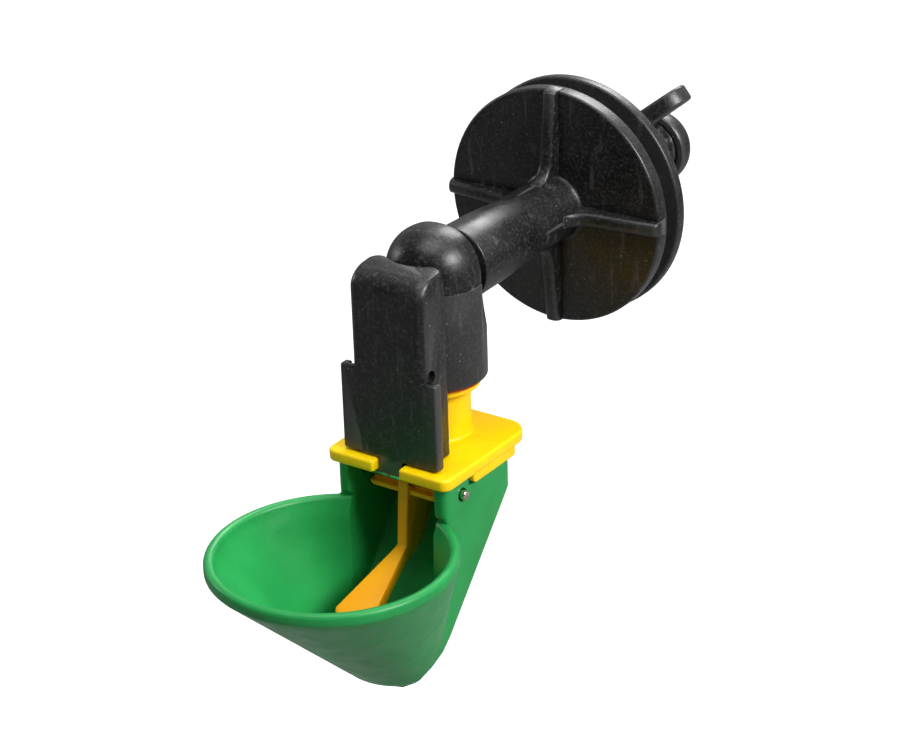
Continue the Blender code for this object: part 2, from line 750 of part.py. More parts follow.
def spring_cap(finish):
    """The slotted cap that closes the valve's bore over the spring."""
    here = (0, TUBE_Y, 0)
    low = cap_bottom()
    cap = rod("spring_cap", VALVE_BORE - SEAL_GAP, low, low + CAP_THICK, here, upright, ROUND, finish)
    for k in range(4):
        angle = (k + 0.5) * pi / 2
        place = (2.3 * MM * cos(angle), TUBE_Y + 2.3 * MM * sin(angle), 0)
        cut(cap, rod(f"cap port {k}", 0.8 * MM, low - MM, low + CAP_THICK + MM, place, upright, 10))
    return cap


def strainer(finish):
    """The round screen over the spring cap."""
    here = (0, TUBE_Y, 0)
    low = cap_bottom() + CAP_THICK + 0.2 * MM
    high = low + STRAINER_THICK
    screen = rod("strainer", VALVE_BORE - SEAL_GAP, low, high, here, upright, ROUND, finish)
    pitch = 1.5 * MM
    for i in range(-2, 3):
        for j in range(-2, 3):
            x, y = i * pitch, j * pitch
            if hypot(x, y) > VALVE_BORE - 1.0 * MM:
                continue
            half = 0.45 * MM
            low_corner = (x - half, TUBE_Y + y - half, low - MM)
            high_corner = (x + half, TUBE_Y + y + half, high + MM)
            cut(screen, box(f"mesh {i} {j}", low_corner, high_corner))
    return screen


def lock_block(finish):
    """The block in front of the drop tube: upright body, two finger wings and the tongue."""
    rest = PLATE_TOP + GAP
    rings = [lock_outline(0.0, 0.0, rest, 0.0)]
    for angle in (0, 22, 45, 68, 90):
        lift, sink = sin(radians(angle)), 1 - cos(radians(angle))
        height = LOCK_TOP - LOCK_BROW * (1 - lift)
        rings.append(lock_outline(LOCK_TOP_EDGE * sink, LOCK_BROW * sink, height, LOCK_RISE * lift))
    body = new_object("lock_block", loft(rings, False), finish)
    back = LOCK_FRONT + LOCK_WING_THICK
    wings = box("finger wings", (-LOCK_WING_HALF, LOCK_FRONT, rest), (LOCK_WING_HALF, back, LOCK_SHOULDER))
    soften(wings, 0.35 * MM)
    join(body, wings)
    tongue_low = PLATE_TOP - PLATE_THICK - 0.1 * MM
    half = SLOT_HALF_WIDTH - GAP
    low = (-half, LOCK_FRONT, tongue_low)
    high = (half, LOCK_FRONT + TONGUE_THICK, rest + 2 * MM)
    join(body, box("tongue", low, high))
    here = (0, TUBE_Y, 0)
    recess = TUBE_RADIUS + RECESS_GAP
    cut(body, rod("tube recess", recess, rest - MM, LOCK_TOP + LOCK_RISE + MM, here, upright, FINE))
    notch_z = LOCK_SHOULDER + LOCK_NOTCH * 0.4
    for side in (1, -1):
        place = (0, back + 0.1 * MM, notch_z)
        depth = sorted((side * (LOCK_HALF - MM), side * (LOCK_HALF + MM)))
        cut(body, rod(f"notch {side}", LOCK_NOTCH, *depth, place, crosswise, 12))
    return body


def lock_outline(side_inset, front_inset, height, rise):
    """The block's outline at one height, which rises towards its back."""
    half, front, back = LOCK_HALF - side_inset, LOCK_FRONT + front_inset, LOCK_BACK - side_inset
    corner = LOCK_CORNER
    points = arc(half - corner, front + corner, corner, 270, 360, 4)
    points += arc(half - corner, back - corner, corner, 0, 90, 4)
    points += [(-x, y) for x, y in reversed(points)]
    slope = rise / (LOCK_BACK - LOCK_FRONT)
    return [Vector((x, y, height + slope * (y - LOCK_FRONT))) for x, y in points]


def cup_section(height, inner):
    """Cone depth, half width and centre, housing half width and back at one height, outside or inside."""
    share = (height - APEX_Z) / (CONE_TOP - APEX_Z)
    below = max(0.0, HOUSING_KNEE - height)
    radius = CONE_RADIUS * share - (CONE_WALL if inner else 0.0)
    wide = radius + CONE_BULGE * (1 - share) ** 2
    centre = APEX_Y + (CONE_TOP_Y - APEX_Y) * share
    half = HOUSING_HALF - HOUSING_TAPER * below - (CUP_WALL if inner else 0.0)
    back = HOUSING_REAR - below / REAR_SLOPE - (REAR_WALL if inner else 0.0)
    return radius, wide, centre, half, back


def cup_outline(radius, wide, centre, half, back, corner, height, pinch=1.0, narrow=1.0):
    """A ring round the cup: the cone's arc, a side wall, the rear corner and the rear wall, twice.

    pinch draws the front and the back together, narrow the sides, to that share of their distance.
    """
    depth = back - centre + radius
    half = min(half, CREASE_SHARE * wide)
    corner = min(corner, CORNER_WIDTH_SHARE * half, CORNER_SHARE * depth)
    reach = back - corner - CORNER_LEAST
    crease = acos(half / wide)
    limit = asin(max(-0.95, min(0.95, (reach - centre) / radius)))
    if limit < crease:
        crease = limit
        half = wide * cos(crease)
    points = []
    for i in range(ARC_STEPS + 1):
        angle = -pi / 2 + (crease + pi / 2) * i / ARC_STEPS
        points.append((wide * cos(angle), centre + radius * sin(angle)))
    start_y = points[-1][1]
    corner_y = back - corner
    points.append((half, start_y + (corner_y - start_y) / 2))
    points += arc(half - corner, corner_y, corner, 0, 90, 3)
    points.append((0.0, back))
    other = [(-x, y) for x, y in reversed(points[1:-1])]
    middle = (centre - radius + back) / 2
    return [Vector((x * narrow, middle + (y - middle) * pinch, height)) for x, y in points + other]


def keel(inner):
    """Height where the cone's front line meets the sloping rear wall, and both lines' slopes."""
    radius, _, centre, _, back = cup_section(HOUSING_KNEE, inner)
    front_slope = (CONE_TOP_Y - CONE_RADIUS - APEX_Y) / (CONE_TOP - APEX_Z)
    rear_slope = 1 / REAR_SLOPE
    drop = (back - (centre - radius)) / (rear_slope - front_slope)
    return HOUSING_KNEE - drop, front_slope, rear_slope


def cup_levels(inner, keel_radius):
    """Rings of the cup's outer or inner skin from the knee down, closed by a rounded keel."""
    point, front_slope, rear_slope = keel(inner)
    front_lean, rear_lean = atan(-front_slope), atan(rear_slope)
    centre_z = point + keel_radius / sin((front_lean + rear_lean) / 2)
    start = centre_z - keel_radius * sin(min(front_lean, rear_lean)) * 0.9
    levels = []
    for i in range(CONE_RINGS):
        levels.append((CONE_TOP + (start - CONE_TOP) * i / CONE_RINGS, 1.0, 1.0))
    for share in (0.0, 0.35, 0.65, 0.87, 0.985):
        z = start + (centre_z - keel_radius - start) * share
        gap = (z - point) * (rear_slope - front_slope)
        chord = 2 * sqrt(max(0.0, keel_radius**2 - (z - centre_z) ** 2))
        levels.append((z, min(1.0, chord / gap), sqrt(1 - KEEL_ROUND * share**2)))
    corner = HOUSING_CORNER - (HOUSING_CORNER / 2 if inner else 0.0)
    return [cup_outline(*cup_section(z, inner), corner, z, pinch, narrow) for z, pinch, narrow in levels]


def cup(finish):
    """The green cup: a cone cut by a sloping rear wall, and the open housing that hangs it."""
    corner = HOUSING_CORNER
    outer = []
    for height, inset in ((0.0, 0.8), (0.15, 0.35), (0.5, 0.05), (1.0, 0.0), (1.75, 0.0), (2.0, 0.3)):
        radius, level = RIM_RADIUS - inset * MM, RIM_TOP - height * MM
        outer.append(cup_outline(radius, radius, RIM_Y, *cup_section(level, False)[3:], corner, level))
    outer += cup_levels(False, KEEL_RADIUS)
    corner = corner / 2
    inner = []
    for height, inset in ((0.15, -0.4), (0.75, 0.0)):
        radius, level = RIM_INNER - inset * MM, RIM_TOP - height * MM
        inner.append(cup_outline(radius, radius, RIM_Y, *cup_section(level, True)[3:], corner, level))
    inner += cup_levels(True, KEEL_RADIUS - MM)
    bm = bmesh.new()
    weight = bm.edges.layers.float.new("bevel_weight_edge")
    out_rows = [[bm.verts.new(point) for point in ring] for ring in outer]
    in_rows = [[bm.verts.new(point) for point in ring] for ring in inner]
    count = len(out_rows[0])
    for rows in (out_rows, in_rows):
        for upper, lower in zip(rows, rows[1:]):
            for k in range(count):
                after = (k + 1) % count
                bm.faces.new((upper[k], upper[after], lower[after], lower[k]))
        bm.faces.new(rows[-1])
    top = PLATE_TOP - PLATE_THICK - GAP
    wall = range(ARC_STEPS, count - ARC_STEPS + 1)
    out_sides, in_sides = {}, {}
    for k in wall:
        front = HOUSING_LEAN if k in (wall[0], wall[-1]) else 0.0
        for rows, sides, lean in ((out_rows, out_sides, 0.0), (in_rows, in_sides, front)):
            x, y = rows[0][k].co.xy
            sides[k] = [bm.verts.new((x, y - lean, z)) for z in (RIM_TOP + 1.5 * MM, top)]
    for k in range(count):
        after = (k + 1) % count
        if k in out_sides and after in out_sides:
            for rows, sides in ((out_rows, out_sides), (in_rows, in_sides)):
                bm.faces.new((rows[0][k], rows[0][after], sides[after][0], sides[k][0]))
                bm.faces.new((sides[k][0], sides[after][0], sides[after][1], sides[k][1]))
            bm.faces.new((out_sides[k][1], out_sides[after][1], in_sides[after][1], in_sides[k][1]))
        else:
            bm.faces.new((out_rows[0][k], out_rows[0][after], in_rows[0][after], in_rows[0][k]))
    for k in (wall[0], wall[-1]):
        bm.faces.new((out_rows[0][k], out_sides[k][0], in_sides[k][0], in_rows[0][k]))
        bm.faces.new((out_sides[k][0], out_sides[k][1], in_sides[k][1], in_sides[k][0]))
        bm.edges.get(out_sides[k])[weight] = 1.0
    body = new_object("cup", bm, finish)
    rounding = body.modifiers.new("Wall edges", "BEVEL")
    rounding.limit_method = "WEIGHT"
    rounding.width = WALL_EDGE
    rounding.segments = 2
    skirt_low = PLATE_TOP - PLATE_THICK - SKIRT_DROP - GAP
    clear = PLATE_HALF_WIDTH - SKIRT_THICK - GAP
    upper = lambda x, y, z: Vector((x, y, z))
    rear = SKIRT_REAR - SKIRT_THICK - GAP
    outside = skirt_outline(PLATE_HALF_WIDTH + MM, SKIRT_REAR + MM, SKIRT_FRONT - GAP)
    inside = skirt_outline(clear, rear, SKIRT_FRONT - 2 * MM)
    rebate = prism("rebate", outside, (skirt_low, top + MM), upper)
    cut(rebate, prism("rebate core", inside, (skirt_low - MM, top + 2 * MM), upper))
    cut(body, rebate)
    hole = rod("pin holes", PIN_RADIUS + GAP, -far_out(), far_out(), (0, PIN_Y, PIN_Z), crosswise, SMALL)
    cut(body, hole)
    return body


def far_out():
    return HOUSING_HALF + 3 * MM


def lever_pin(finish):
    end = HOUSING_HALF + PIN_PROUD
    edge = 0.15 * MM
    profile = [(PIN_RADIUS - edge, -end), (PIN_RADIUS, -end + edge), (PIN_RADIUS, end - edge), (PIN_RADIUS - edge, end)]
    return turned("lever_pin", profile, (0, PIN_Y, PIN_Z), crosswise, SMALL, finish)


def tail_arm_top():
    return PIN_Z + 0.9 * MM


def lever(finish):
    """The lever: barrel on the pin, upright blade, tail arm under the stem and flared paddle."""
    top = tail_arm_top()
    foot = top - TAIL_ARM_THICK
    end = TUBE_Y + 0.6 * MM
    kink = LEVER_KINK_Y
    drop = LEVER_KINK_Z
    lean = atan2(drop - PADDLE_TIP_Z, kink - PADDLE_TIP_Y)
    under = PADDLE_THICK / cos(lean)
    toe = kink - 3 * MM
    blade = [
        (LEVER_FRONT, PIN_Z),
        (kink, drop),
        (toe, drop - 3 * MM * tan(lean)),
        (toe, drop - 3 * MM * tan(lean) - under),
        (kink, WEB_FOOT_Z - 0.7 * MM),
        (kink + 2.2 * MM, WEB_FOOT_Z),
        (WEB_BACK - 3.0 * MM, WEB_FOOT_Z + 1.3 * MM),
        (WEB_BACK - 1.4 * MM, WEB_FOOT_Z + 2.9 * MM),
        (WEB_BACK - 0.4 * MM, WEB_FOOT_Z + 5.1 * MM),
        (WEB_BACK, WEB_FOOT_Z + 6.8 * MM),
        (WEB_BACK + 0.8 * MM, foot - 1.5 * MM),
        (WEB_BACK + 2.2 * MM, foot),
        (end, foot + 0.3 * MM),
        (end, top),
    ]
    side = lambda u, v, w: Vector((w, u, v))
    body = prism("lever", blade, (-LEVER_HALF, LEVER_HALF), side, finish)
    soften(body, 0.25 * MM, 1)
    edge = 0.8 * MM
    barrel = [
        (BARREL_RADIUS - edge, -BARREL_HALF),
        (BARREL_RADIUS, -BARREL_HALF + edge),
        (BARREL_RADIUS, BARREL_HALF - edge),
        (BARREL_RADIUS - edge, BARREL_HALF),
    ]
    barrel = turned("barrel", barrel, (0, PIN_Y, PIN_Z), crosswise, SMALL)
    low = (-BARREL_HALF - MM, PIN_Y - 2 * BARREL_RADIUS, PIN_Z - BARREL_LIP)
    cut(barrel, box("barrel face", low, (BARREL_HALF + MM, BARREL_FACE, PIN_Z + 2 * BARREL_RADIUS)))
    join(body, barrel)
    join(body, paddle("paddle", lean, under))
    cut(body, rod("pin bore", PIN_RADIUS + GAP, -far_out(), far_out(), (0, PIN_Y, PIN_Z), crosswise, SMALL))
    return body


def paddle(name, lean, under):
    """The blade's foot, which flares into the paddle that the birds push."""
    rings = []
    start_y = LEVER_KINK_Y - 0.3 * MM
    for share in (0.0, 0.94, 1.0):
        y = start_y + (PADDLE_TIP_Y - start_y) * share
        z = LEVER_KINK_Z + (y - LEVER_KINK_Y) * tan(lean)
        half = LEVER_HALF - 0.02 * MM + (PADDLE_HALF - LEVER_HALF) * min(share / 0.94, 1.0)
        if share == 1.0:
            half = PADDLE_HALF - 0.7 * MM
        edge = 0.3 * MM
        outline = [(-half, z - edge), (-half + edge, z), (half - edge, z), (half, z - edge)]
        outline += [(half, z - under + edge), (half - edge, z - under)]
        outline += [(-half + edge, z - under), (-half, z - under + edge)]
        rings.append([Vector((x, y, height)) for x, height in outline])
    return new_object(name, loft(rings, False))


def main():
    clear_scene()
    black = material("black plastic", (0.022, 0.022, 0.024), 0.4)
    yellow = material("yellow plastic", (1.0, 0.72, 0.0), 0.35)
    green = material("green plastic", (0.02, 0.32, 0.09), 0.35)
    orange = material("orange plastic", (0.95, 0.42, 0.01), 0.35)
    red = material("red rubber", (0.5, 0.02, 0.01), 0.6)
    rubber = material("black rubber", (0.03, 0.03, 0.03), 0.8)
    steel = material("bright steel", (0.7, 0.68, 0.63), 0.25, 1.0)
    white = material("white plastic", (0.85, 0.85, 0.83), 0.5)

    bracket_body(black)
    elbow(black)
    elbow_seal(rubber)
    hose_nut(black)
    hose_washer(rubber)

    clamp = pivot("clamp slide", (0, CLAMP_GAP, 0))
    hang_on(clamp_disc(black), clamp)
    nut = pivot("nut axis", (0, CLAMP_GAP + REAR_DISC_THICK + GAP, 0))
    hang_on(wing_nut(black), nut)

    swivel = pivot("valve swivel", (0, TUBE_Y, PLATE_TOP))
    for made in (valve_body(yellow), collar_seal(red), spigot_seal(rubber), valve_seat(white)):
        hang_on(made, swivel)
    for made in (spring_cap(white), strainer(steel), cup(green), lever_pin(steel)):
        hang_on(made, swivel)
    valve_spring(steel)

    lift = pivot("lock slide", (0, LOCK_FRONT, PLATE_TOP))
    hang_on(lock_block(black), lift)
    hinge = pivot("lever hinge", (0, PIN_Y, PIN_Z))
    hang_on(lever(orange), hinge)
    rise = pivot("stem slide", (0, TUBE_Y, stem_head()))
    for made in (valve_stem(white), valve_seal(rubber)):
        hang_on(made, rise)


main()
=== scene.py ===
"""Poultry drinker: the finished look of every surface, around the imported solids.

Frame: +Z up, -Y towards the birds, origin in the middle of the front disc's back face. Lengths are in
metres. Each visible piece is made again here with its fine edges, fillets and thread, where its solid is.
"""

import json
from math import acos, asin, atan, atan2, cos, pi, radians, sin, sqrt, tan

import bmesh
import bpy
from mathutils import Matrix, Vector

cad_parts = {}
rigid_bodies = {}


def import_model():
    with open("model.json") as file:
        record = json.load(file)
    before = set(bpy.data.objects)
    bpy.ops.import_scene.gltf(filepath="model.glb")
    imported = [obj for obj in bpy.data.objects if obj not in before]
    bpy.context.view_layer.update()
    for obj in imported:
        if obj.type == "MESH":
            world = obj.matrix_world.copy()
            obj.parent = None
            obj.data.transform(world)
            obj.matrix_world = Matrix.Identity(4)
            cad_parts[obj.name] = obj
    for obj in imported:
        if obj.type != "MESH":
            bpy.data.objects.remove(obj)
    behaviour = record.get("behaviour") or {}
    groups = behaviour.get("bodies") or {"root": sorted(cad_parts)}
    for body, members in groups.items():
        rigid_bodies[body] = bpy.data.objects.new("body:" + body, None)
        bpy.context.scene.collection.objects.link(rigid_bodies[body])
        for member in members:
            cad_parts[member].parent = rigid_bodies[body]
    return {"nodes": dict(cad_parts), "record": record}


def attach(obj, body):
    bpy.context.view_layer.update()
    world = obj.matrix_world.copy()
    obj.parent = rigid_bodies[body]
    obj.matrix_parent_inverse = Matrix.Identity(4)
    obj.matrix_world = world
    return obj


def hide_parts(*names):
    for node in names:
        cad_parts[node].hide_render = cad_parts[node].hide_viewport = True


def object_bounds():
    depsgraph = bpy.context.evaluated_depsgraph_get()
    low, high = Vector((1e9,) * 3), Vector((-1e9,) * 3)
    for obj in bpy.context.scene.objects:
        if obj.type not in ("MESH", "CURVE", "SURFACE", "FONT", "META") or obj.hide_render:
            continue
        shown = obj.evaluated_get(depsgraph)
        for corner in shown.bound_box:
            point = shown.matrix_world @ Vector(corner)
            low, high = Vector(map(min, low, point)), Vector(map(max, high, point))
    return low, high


MM = 0.001

# Clearance, how far a cutter or a joined piece runs past a face, and how finely round shapes are divided.
GAP = 0.3 * MM
PAST = 1.0 * MM
FINE = 128
ROUND = 72
SMALL = 40
ARC_STEPS = 48
EDGE_STEPS = 6
CONE_RINGS = 12
KEEL_RINGS = 9
RIM_RINGS = 8
SMOOTH_ANGLE = radians(32)
BEVEL_ANGLE = 38.0

# Camera, at the photograph's viewing angle.
CAMERA_PLACE = (0.22044, -0.34475, 0.16074)
CAMERA_AZIMUTH = radians(35.07)
CAMERA_ELEVATION = radians(24.97)
CAMERA_ROLL = radians(-1.80)
CAMERA_LENS = 104.5
SENSOR_WIDTH = 36.0

# Bracket: front disc, four ribs, arm and hollow threaded tail.
DISC_RADIUS = 20.0 * MM
DISC_THICK = 2.8 * MM
DISC_EDGE = 0.5 * MM
RIB_WIDTH = 2.3 * MM
RIB_PROUD = 0.1 * MM
RIB_END_ROUND = 0.45 * MM
RIB_TIP_HEIGHT = 1.3 * MM
RIB_FOOT_HEIGHT = 3.0 * MM
RIB_SWEEP = 3.4 * MM
RIB_DRAFT = 1.12
RIB_CROWN = 0.75
RIB_CROWN_FULLNESS = 0.8
RIB_END_DROP = 0.7
ARM_END_Y = -31.4 * MM
ARM_END_RADIUS = 6.15 * MM
ARM_LIP = 0.3 * MM
ARM_NECK_RADIUS = 5.4 * MM
ARM_NECK_Y = -13.0 * MM
ARM_FOOT_RADIUS = 6.0 * MM
ARM_STRAIGHT = 7.0 * MM
SOCKET_DEPTH = 9.8 * MM
TAIL_LENGTH = 31.0 * MM
THREAD_RADIUS = 5.0 * MM
THREAD_DEPTH = 0.8 * MM
THREAD_PITCH = 3.0 * MM
THREAD_RELIEF = 2.6 * MM
THREAD_RUNOUT = 1.0 * MM
THREAD_ROWS = 12
THREAD_CREST = 0.2
THREAD_FLANK = 0.4
WATER_BORE = 2.4 * MM
NIPPLE_RADIUS = 3.0 * MM
NIPPLE_LENGTH = 4.4 * MM
NIPPLE_CHAMFER = 0.4 * MM
NIPPLE_CHAMFER_LENGTH = 1.0 * MM
SOCKET_CONE = 1.5 * MM

# Clamp: rear disc, wing nut and hose nut.
CLAMP_GAP = 3.1 * MM
REAR_DISC_PROUD = 0.2 * MM
REAR_DISC_RADIUS = DISC_RADIUS + REAR_DISC_PROUD
REAR_DISC_THICK = 2.1 * MM
HOLE_CLEARANCE = 0.4 * MM
NUT_FACE_Y = CLAMP_GAP + REAR_DISC_THICK + GAP
NUT_EDGE = 0.4 * MM
NUT_FLANGE_SLOPE = 0.1 * MM
NUT_FOOT = 0.6 * MM
NUT_FLANGE_RADIUS = 9.0 * MM
NUT_FLANGE_THICK = 1.6 * MM
NUT_RADIUS = 7.0 * MM
NUT_LENGTH = 13.0 * MM
WING_THICK = 2.8 * MM
WING_OFFSET = 4.05 * MM
WING_REACH = 21.1 * MM
WING_ANGLE = radians(39.0)
WING_TIP_RADIUS = 4.0 * MM
WING_TIP_PAST = 2.0 * MM
WING_TIP_START = -60
WING_EDGE = 0.5 * MM
HOSE_NUT_RADIUS = 6.5 * MM
HOSE_NUT_LENGTH = 5.1 * MM
HOSE_NUT_ROUND = 4.6 * MM
HOSE_NUT_ROUND_END = 55
HOSE_NUT_CHAMFER = 0.2 * MM
HOSE_NUT_CHAMFER_LENGTH = 0.3 * MM
HOSE_NUT_GRIP = 2.8 * MM
HOSE_NUT_Y = TAIL_LENGTH - HOSE_NUT_GRIP
HOSE_RADIUS = 4.2 * MM
NUT_CAP_THICK = 1.1 * MM

# Elbow: a domed drop tube with a flat back and a spigot that plugs into the arm.
TUBE_Y = -36.65 * MM
TUBE_RADIUS = 7.8 * MM
TUBE_BORE = 5.85 * MM
TUBE_BOTTOM = -16.2 * MM
DOME_BASE = -0.2 * MM
DOME_CENTRE = 0.8 * MM
DOME_STEP = 0.1 * MM
DOME_STEP_EDGE = 0.03 * MM
DOME_FULLNESS = 0.88
DOME_END = 88
TUBE_LIP = 0.3 * MM
SHELL_BACK = -35.1 * MM
SHELL_FOOT = -8.5 * MM
SHELL_SWEEP = 2.6 * MM
SHELL_STEPS = 10
SHELL_CUT = 12.0 * MM
SHELL_EDGE = 0.18 * MM
BOSS_BACK = -31.7 * MM
BOSS_RADIUS = 4.9 * MM
BOSS_OVERLAP = 0.2 * MM
SPIGOT_RADIUS = 4.3 * MM
SPIGOT_CHAMFER = 0.5 * MM
TUBE_STEP = -8.4 * MM
TUBE_PASSAGE = 3.0 * MM
TUBE_PASSAGE_TOP = 3.0 * MM

# Valve body: plate, skirt, neck, collar and spigot.
PLATE_TOP = -26.1 * MM
PLATE_THICK = 2.0 * MM
PLATE_HALF_WIDTH = 11.5 * MM
PLATE_FRONT = -51.7 * MM
PLATE_REAR = -27.9 * MM
PLATE_CORNER = 1.6 * MM
PLATE_REAR_CORNER = 3.8 * MM
PLATE_EDGE = 0.45 * MM
SLOT_HALF_WIDTH = 2.45 * MM
SLOT_DEPTH = 3.8 * MM
SKIRT_DROP = 1.65 * MM
SKIRT_THICK = 1.1 * MM
SKIRT_CORNER = 0.9 * MM
SKIRT_EDGE = 0.25 * MM
SKIRT_FRONT = -43.9 * MM
SKIRT_REAR = -31.0 * MM
NECK_RADIUS = 5.0 * MM
NECK_FOOT = 0.5 * MM
COLLAR_RADIUS = 6.65 * MM
COLLAR_THICK = 1.1 * MM
COLLAR_EDGE = 0.25 * MM
COLLAR_UNDERCUT = 0.03 * MM
COLLAR_UNDERCUT_INSET = 0.05 * MM
COLLAR_FLARE = ((0.0, 0.9 * MM), (0.25 * MM, 0.55 * MM))
BODY_SPIGOT_RADIUS = 5.5 * MM
BODY_SPIGOT_TOP = -9.0 * MM
BODY_SPIGOT_CHAMFER = 0.4 * MM
VALVE_BORE = 3.9 * MM
VALVE_FLOOR = -24.4 * MM
OUTLET_RADIUS = 1.5 * MM
COLLAR_SEAL_THICK = 0.4 * MM
COLLAR_SEAL_INSET = 0.5 * MM
COLLAR_SEAL_EDGE = 0.15 * MM
SEAL_GAP = 0.1 * MM
GROOVE_DEPTH = 0.9 * MM
O_RING_WIRE = 0.55 * MM

# Lock block in front of the drop tube.
LOCK_TOP = 4.4 * MM
LOCK_SHOULDER = -11.3 * MM
LOCK_BACK = -43.0 * MM
LOCK_FRONT = -50.2 * MM
LOCK_HALF = 6.9 * MM
LOCK_CORNER = 1.6 * MM
LOCK_BROW = 2.7 * MM
LOCK_TOP_EDGE = 0.7 * MM
LOCK_RISE = 0.7 * MM
LOCK_WING_HALF = 8.95 * MM
LOCK_WING_THICK = 1.8 * MM
LOCK_FOOT_EDGE = 0.15 * MM
LOCK_EDGE = 0.22 * MM
LOCK_WING_EDGE = 0.4 * MM
LOCK_NOTCH = 1.1 * MM
LOCK_NOTCH_RISE = 0.4
LOCK_NOTCH_SET = 0.1 * MM
RECESS_GAP = 0.4 * MM
TONGUE_THICK = 1.5 * MM
TONGUE_DROP = 0.1 * MM
TONGUE_EDGE = 0.15 * MM

# Cup: an oblique cone joined to a housing that carries the pin.
RIM_TOP = -34.4 * MM
RIM_Y = -66.05 * MM
RIM_RADIUS = 19.5 * MM
RIM_INNER = 17.8 * MM
RIM_LIP = 0.8 * MM
RIM_SHIFT = 0.6
RIM_FOOT = ((0.0, 1.7 * MM), (0.06 * MM, 1.88 * MM), (0.16 * MM, 1.97 * MM))
CONE_TOP = -36.5 * MM
CONE_TOP_Y = -66.0 * MM
CONE_RADIUS = 19.3 * MM
CONE_BULGE = 2.1 * MM
APEX_Y = -44.6 * MM
APEX_Z = -74.75 * MM
CUP_WALL = 2.3 * MM
REAR_WALL = 2.0 * MM
CONE_WALL = 2.1 * MM
HOUSING_HALF = 10.4 * MM
HOUSING_REAR = -31.9 * MM
HOUSING_KNEE = -35.2 * MM
HOUSING_TAPER = 0.02
HOUSING_LEAN = 1.2 * MM
REAR_SLOPE = 1.16
HOUSING_CORNER = 2.0 * MM
INNER_CORNER = 1.0 * MM
CREASE_SHARE = 0.995
CREASE_LIMIT = 0.95
CORNER_WIDTH_SHARE = 0.35
CORNER_SHARE = 0.22
CORNER_LEAST = 0.15 * MM
KEEL_RADIUS = 3.8 * MM
KEEL_ROUND = 0.25
KEEL_START = 0.9
KEEL_END = 0.985
WALL_EDGE = 1.2 * MM
WALL_EDGE_INSIDE = 0.25
WALL_FOOT = 1.3 * MM
WALL_FOOT_STEPS = 8

# Lever and pin.
PIN_Y = -46.0 * MM
PIN_Z = -30.8 * MM
PIN_RADIUS = 0.8 * MM
PIN_PROUD = 0.9 * MM
PIN_EDGE = 0.3 * MM
PIN_FACE = 0.35
PIN_DISH = 0.06 * MM
PIN_CURL = 10
BARREL_RADIUS = 2.4 * MM
BARREL_HALF = 6.6 * MM
BARREL_FACE = -46.9 * MM
BARREL_RECESS = -45.6 * MM
BARREL_LIP = 1.5 * MM
BARREL_END = 0.8 * MM
BARREL_EDGE = 0.2 * MM
LEVER_HALF = 0.95 * MM
LEVER_EDGE = 0.25 * MM
LEVER_TOE = 3.0 * MM
LEVER_FRONT = -47.3 * MM
LEVER_KINK_Y = -48.2 * MM
LEVER_KINK_Z = -41.7 * MM
PADDLE_TIP_Y = -62.2 * MM
PADDLE_TIP_Z = -47.6 * MM
PADDLE_HALF = 3.5 * MM
PADDLE_THICK = 2.5 * MM
PADDLE_EDGE = 0.35 * MM
PADDLE_INSET = 0.02 * MM
PADDLE_OVERLAP = 0.3 * MM
PADDLE_FLARE_END = 0.94
PADDLE_TIP_NARROW = 0.7 * MM
PADDLE_TIP_SINK = 0.25 * MM
WEB_BACK = -41.0 * MM
WEB_FOOT_Z = -43.8 * MM
WEB_TOE = ((0.0, -0.7 * MM), (2.2 * MM, 0.0))
WEB_HEAD = ((0.8 * MM, -1.5 * MM), (2.2 * MM, 0.0))
WEB_SWEEP = ((-3.0 * MM, 1.3 * MM), (-1.4 * MM, 2.9 * MM), (-0.4 * MM, 5.1 * MM), (0.0, 6.8 * MM))
TAIL_ARM_THICK = 1.8 * MM
TAIL_ARM_RISE = 0.9 * MM
TAIL_ARM_TAPER = 0.3 * MM
TAIL_ARM_PAST = 0.6 * MM

# Studio.
FLOOR_DROP = 0.11
FLOOR_HALF = 3.0
FLOOR_PAINT = (0.26, 0.26, 0.26)
FLOOR_ROUGHNESS = 0.9
FLOOR_LIFT = 0.95
WORLD_LIGHT = 0.34
GLOSS_FRONT = 0.06
GLOSS_BACK = 0.45
GLOSS_FRONT_Y = -0.7
GLOSS_BACK_Y = 0.6
LIT_POINT = (0.0, -0.040, -0.015)
# Each lamp: where its light comes from, its distance and width in metres, and its power in watts.
LAMPS = {
    "key": ((0.81, -0.02, 0.60), 0.60, 0.22, 4.2),
    "top": ((0.0, -0.10, 1.0), 0.75, 0.55, 2.9),
    "left": ((-0.97, -0.12, 0.26), 0.60, 0.12, 0.45),
    "back": ((-0.15, 0.74, 0.66), 0.70, 0.30, 3.2),
}

# Colours, as the shader takes them.
BLACK_DARK = (0.004, 0.004, 0.004)
BLACK_LIGHT = (0.009, 0.009, 0.009)
BLACK_GRAIN = (0.055, 0.055, 0.055)
# Pale grey of scuffs, and of convex edges, where it is partly a painted highlight.
BLACK_WEAR_AND_EDGE_SHEEN = (0.085, 0.084, 0.082)
DUST = (0.28, 0.27, 0.25)
YELLOW = (1.0, 0.68, 0.0)
YELLOW_PALE = (1.0, 0.75, 0.01)
YELLOW_DEEP = (1.0, 0.60, 0.0)
GREEN = (0.017, 0.305, 0.070)
GREEN_PALE = (0.045, 0.36, 0.12)
GREEN_DEEP = (0.013, 0.265, 0.060)
ORANGE = (1.0, 0.44, 0.0)
ORANGE_PALE = (1.0, 0.51, 0.01)
ORANGE_DEEP = (1.0, 0.37, 0.0)
WHITE = (0.80, 0.80, 0.77)
WHITE_SHADE = (0.70, 0.70, 0.66)
RED = (0.55, 0.025, 0.012)
RED_WORN = (0.42, 0.04, 0.02)
RUBBER = (0.012, 0.012, 0.012)
RUBBER_WORN = (0.035, 0.034, 0.032)
STEEL_DARK = (0.62, 0.60, 0.56)
STEEL = (0.80, 0.78, 0.74)
STEEL_STAIN = (0.60, 0.30, 0.08)

